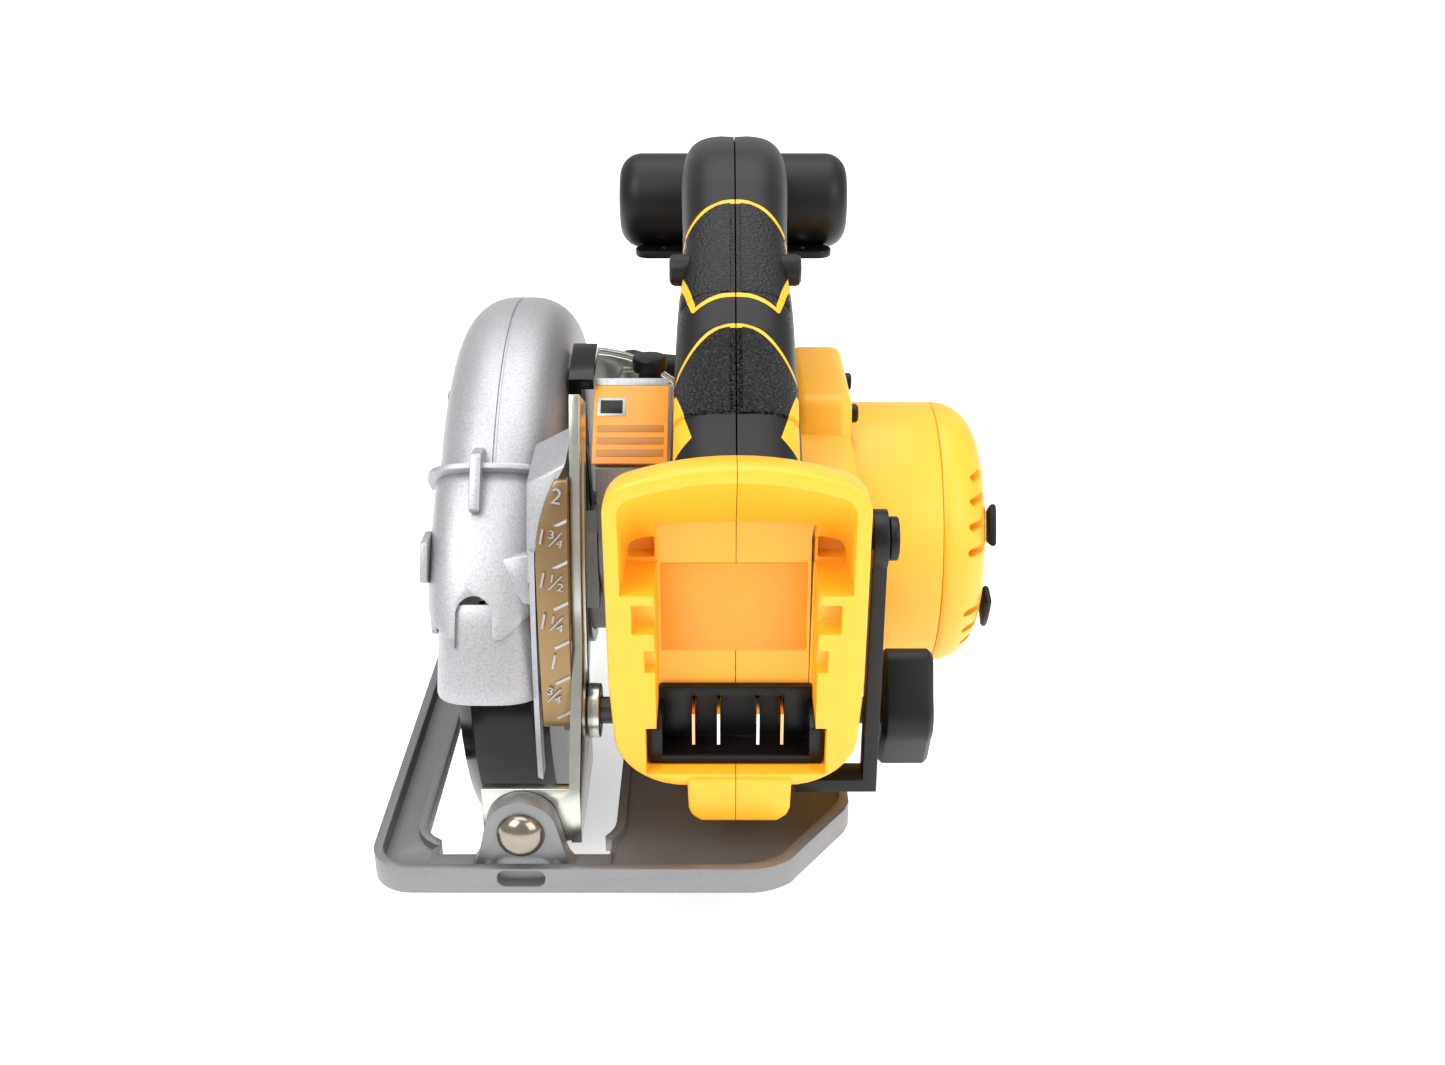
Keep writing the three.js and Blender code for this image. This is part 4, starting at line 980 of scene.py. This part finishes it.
def motor():
    bore = MOTOR_BORE
    wall = [(bore, 36.4), (42.6, 36.4), (43, 36.9), (43, 63.4), (42.7, 63.9), (bore, 63.9), (bore, 36.4)]
    made = spun("motor_shell", "x", *MOTOR, wall, 120)
    finished(made, "saw_body", "yellow_plastic", YELLOW, "motor_housing")
    cap = [(0, 79)] + oval(28, 64.6, 15, 14.4, 0, 91, 6)[::-1]
    cap += [(42.7, 64.1), (bore, 64.1), (38, 68), (26, 76), (0, 76)]
    made = spun("motor_cap", "x", *MOTOR, cap, 120)
    for turn in (196, 208, 220, 232, 308, 320, 332, 344, 16, 28, 40, 52, 128, 140, 152, 164):
        a = math.radians(turn)
        y, z = MOTOR[0] + 37.5 * math.cos(a), MOTOR[1] + 37.5 * math.sin(a)
        slot = plate("vent", "x", rounded(y - 3.6, y + 3.6, z - 1.3, z + 1.3, 1.2, 4), 66, 95)
        carve(made, slot)
    tidy_normals(made)
    finished(made, "saw_body", "yellow_plastic", YELLOW, "motor_end_cap")


shoe()
rivet("rear_rivet", "rear_bevel_rivet", -1)
rivet("front_rivet", "front_bevel_rivet", 1)
upper_guard()
chute()
scale()
handle()
housing()
terminals()
case_screws()
motor()

# ------------------------------------------------------------------ pieces softened from the frame's shape
SOFTENED = (
    ("bracket_plate", "depth_bracket", "tilt_frame", "zinc", ZINC, 0.6),
    ("front_bracket_plate", "front_bracket", "tilt_frame", "zinc", ZINC, 0.6),
    ("quadrant_plate", "bevel_quadrant", "shoe", "zinc", ZINC, 0.5),
    ("lower_guard_shell", "lower_guard", "lower_guard", "black_gloss", GLOSS, 0.7),
    ("lever_arm", "guard_lever", "lower_guard", "black_gloss", GLOSS, 0.9),
    ("hook_bar", "hang_hook", "hang_hook", "black_paint", PAINTED, 1.3),
    ("hook_head", "hook_screw", "saw_body", "dark_steel", PAINTED, 0.6),
    ("depth_knob", "depth_lock_knob", "depth_lock", "black_plastic", BLACK, 1.6),
    ("depth_washer", "depth_lock_washer", "depth_lock", "zinc", ZINC, 0.5),
    ("case_shell", "gear_case", "saw_body", "cast_metal", SILVER, 1.1),
    ("case_cover", "gear_case_plate", "saw_body", "cast_metal", SILVER, 0.6),
    ("bumper_high", "bumper_upper", "saw_body", "black_plastic", BLACK, 0.6),
    ("bumper_low", "bumper_lower", "saw_body", "black_plastic", BLACK, 0.6),
    ("bevel_lever", "bevel_lock_lever", "bevel_lock", "black_plastic", BLACK, 1.2),
    ("bevel_bolt", "bevel_lock_bolt", "bevel_lock", "zinc", ZINC, 0.4),
    ("spindle_button", "spindle_lock_button", "spindle_lock_button", "black_plastic", BLACK, 0.8),
    ("trigger_shell", "trigger", "trigger", "black_plastic", BLACK, 1.4),
)
for name, node, body, slot, material, edge in SOFTENED:
    softened = from_frame(name, node)
    if node == "depth_bracket":
        carve(softened, block("flange_end", (-95, -124, 0), (-70.5, -100, 40)))
        carve(softened, block("flange_top", (-95, -124, 27.6), (-49, -117.5, 40)))
    round_edges(softened, edge, 3, 40)
    finished(softened, body, slot, material, node)


def case_label():
    """The wide label over the gear case's sloping rear, its window and its silver strips."""
    slope = math.atan2(109.8 - 93.4, 46.1 - 23.7)
    rise, run = math.sin(slope), math.cos(slope)

    def on_slope(name, x0, x1, low, high, proud, material, slot):
        """A thin plate lying on the slope, from one distance up it to another."""
        corners = []
        for along, out in ((low, proud), (high, proud), (high, proud - 0.7), (low, proud - 0.7)):
            corners.append((-47.5 + along * run - out * rise, 92.4 + along * rise + out * run))
        made = plate(name, "x", corners, x0, x1, 0.12)
        finished(made, "saw_body", slot, material)

    on_slope("label_field", -43.2, -20.4, 0.6, 29.0, 1.7, AMBER, "amber_label")
    on_slope("label_head", -43.2, -20.4, 29.2, 31.8, 1.6, SILVER, "cast_metal")
    on_slope("label_window", -42.2, -33.4, 17.6, 24.2, 1.9, SILVER, "cast_metal")
    on_slope("label_window_inner", -41.2, -34.4, 18.5, 23.3, 2.05, SMOOTH_BLACK, "black_plastic")
    for i in range(3):
        on_slope("label_rule_%d" % i, -42, -21.6, 3.0 + i * 4.4, 5.6 + i * 4.4, 1.85, RULES, "amber_label")


case_label()

# ------------------------------------------------------------------ pieces that keep the frame's shape
KEPT = {
    "depth_hinge_pin": STEEL, "trigger_pin": STEEL,
    "blade": BLADE, "inner_flange": BLADE, "outer_flange": BLADE, "drive_gear": BLADE,
    "spindle_bearing": BLADE, "front_bearing": BLADE, "rear_bearing": BLADE,
    "spindle": DARK, "rotor": DARK, "stator": DARK, "motor_controller": DARK, "depth_lock_bolt": DARK,
    "blade_bolt": ZINC,
    "cooling_fan": BLACK, "switch_body": BLACK,
    "gear_case_label": AMBER,
    "terminal_1": COPPER, "terminal_2": CONTACT, "terminal_3": CONTACT, "terminal_4": COPPER,
}
for node, material in KEPT.items():
    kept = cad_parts[node]
    kept.data.materials.clear()
    kept.data.materials.append(material)


# ------------------------------------------------------------------ stage
def studio():
    bpy.ops.mesh.primitive_plane_add(size=14, location=(0, 0, cad_box[0].z - 0.0002))
    floor = bpy.context.object
    floor.name = "floor"
    paper = Finish("paper")
    paper.colour(paper.blend(paper.noise(2, 2), (0.97, 0.97, 0.97), (0.98, 0.98, 0.98)))
    paper.fixed(Roughness=0.9, Emission_Color=(1, 1, 1, 1), Emission_Strength=0.4)
    floor.data.materials.append(paper.material)
    world = bpy.data.worlds.new("studio")
    bpy.context.scene.world = world
    world.use_nodes = True
    world.node_tree.nodes["Background"].inputs[0].default_value = (1, 1, 1, 1)
    world.node_tree.nodes["Background"].inputs[1].default_value = 0.66
    aim = Vector((0, 0, 0.08))
    for name, place, size, power in (
        ("key", (-0.9, -1.0, 1.5), 1.1, 24),
        ("fill", (1.2, -0.9, 1.0), 1.2, 15),
        ("top", (0.0, 0.3, 1.7), 1.6, 22),
    ):
        light = bpy.data.lights.new(name, "AREA")
        light.size = size
        light.energy = power
        lamp = bpy.data.objects.new(name, light)
        bpy.context.scene.collection.objects.link(lamp)
        lamp.location = place
        lamp.rotation_euler = (aim - Vector(place)).to_track_quat("-Z", "Y").to_euler()


def camera():
    bpy.context.scene.view_settings.view_transform = "Standard"
    view = bpy.data.cameras.new("view")
    view.sensor_width = 36
    view.lens = 38.04
    view.clip_start = 0.01
    eye = bpy.data.objects.new("view", view)
    bpy.context.scene.collection.objects.link(eye)
    eye.location = (-0.0037, -0.4737, 0.2697)
    eye.rotation_euler = (math.radians(65), 0, 0)
    bpy.context.scene.camera = eye


studio()
camera()
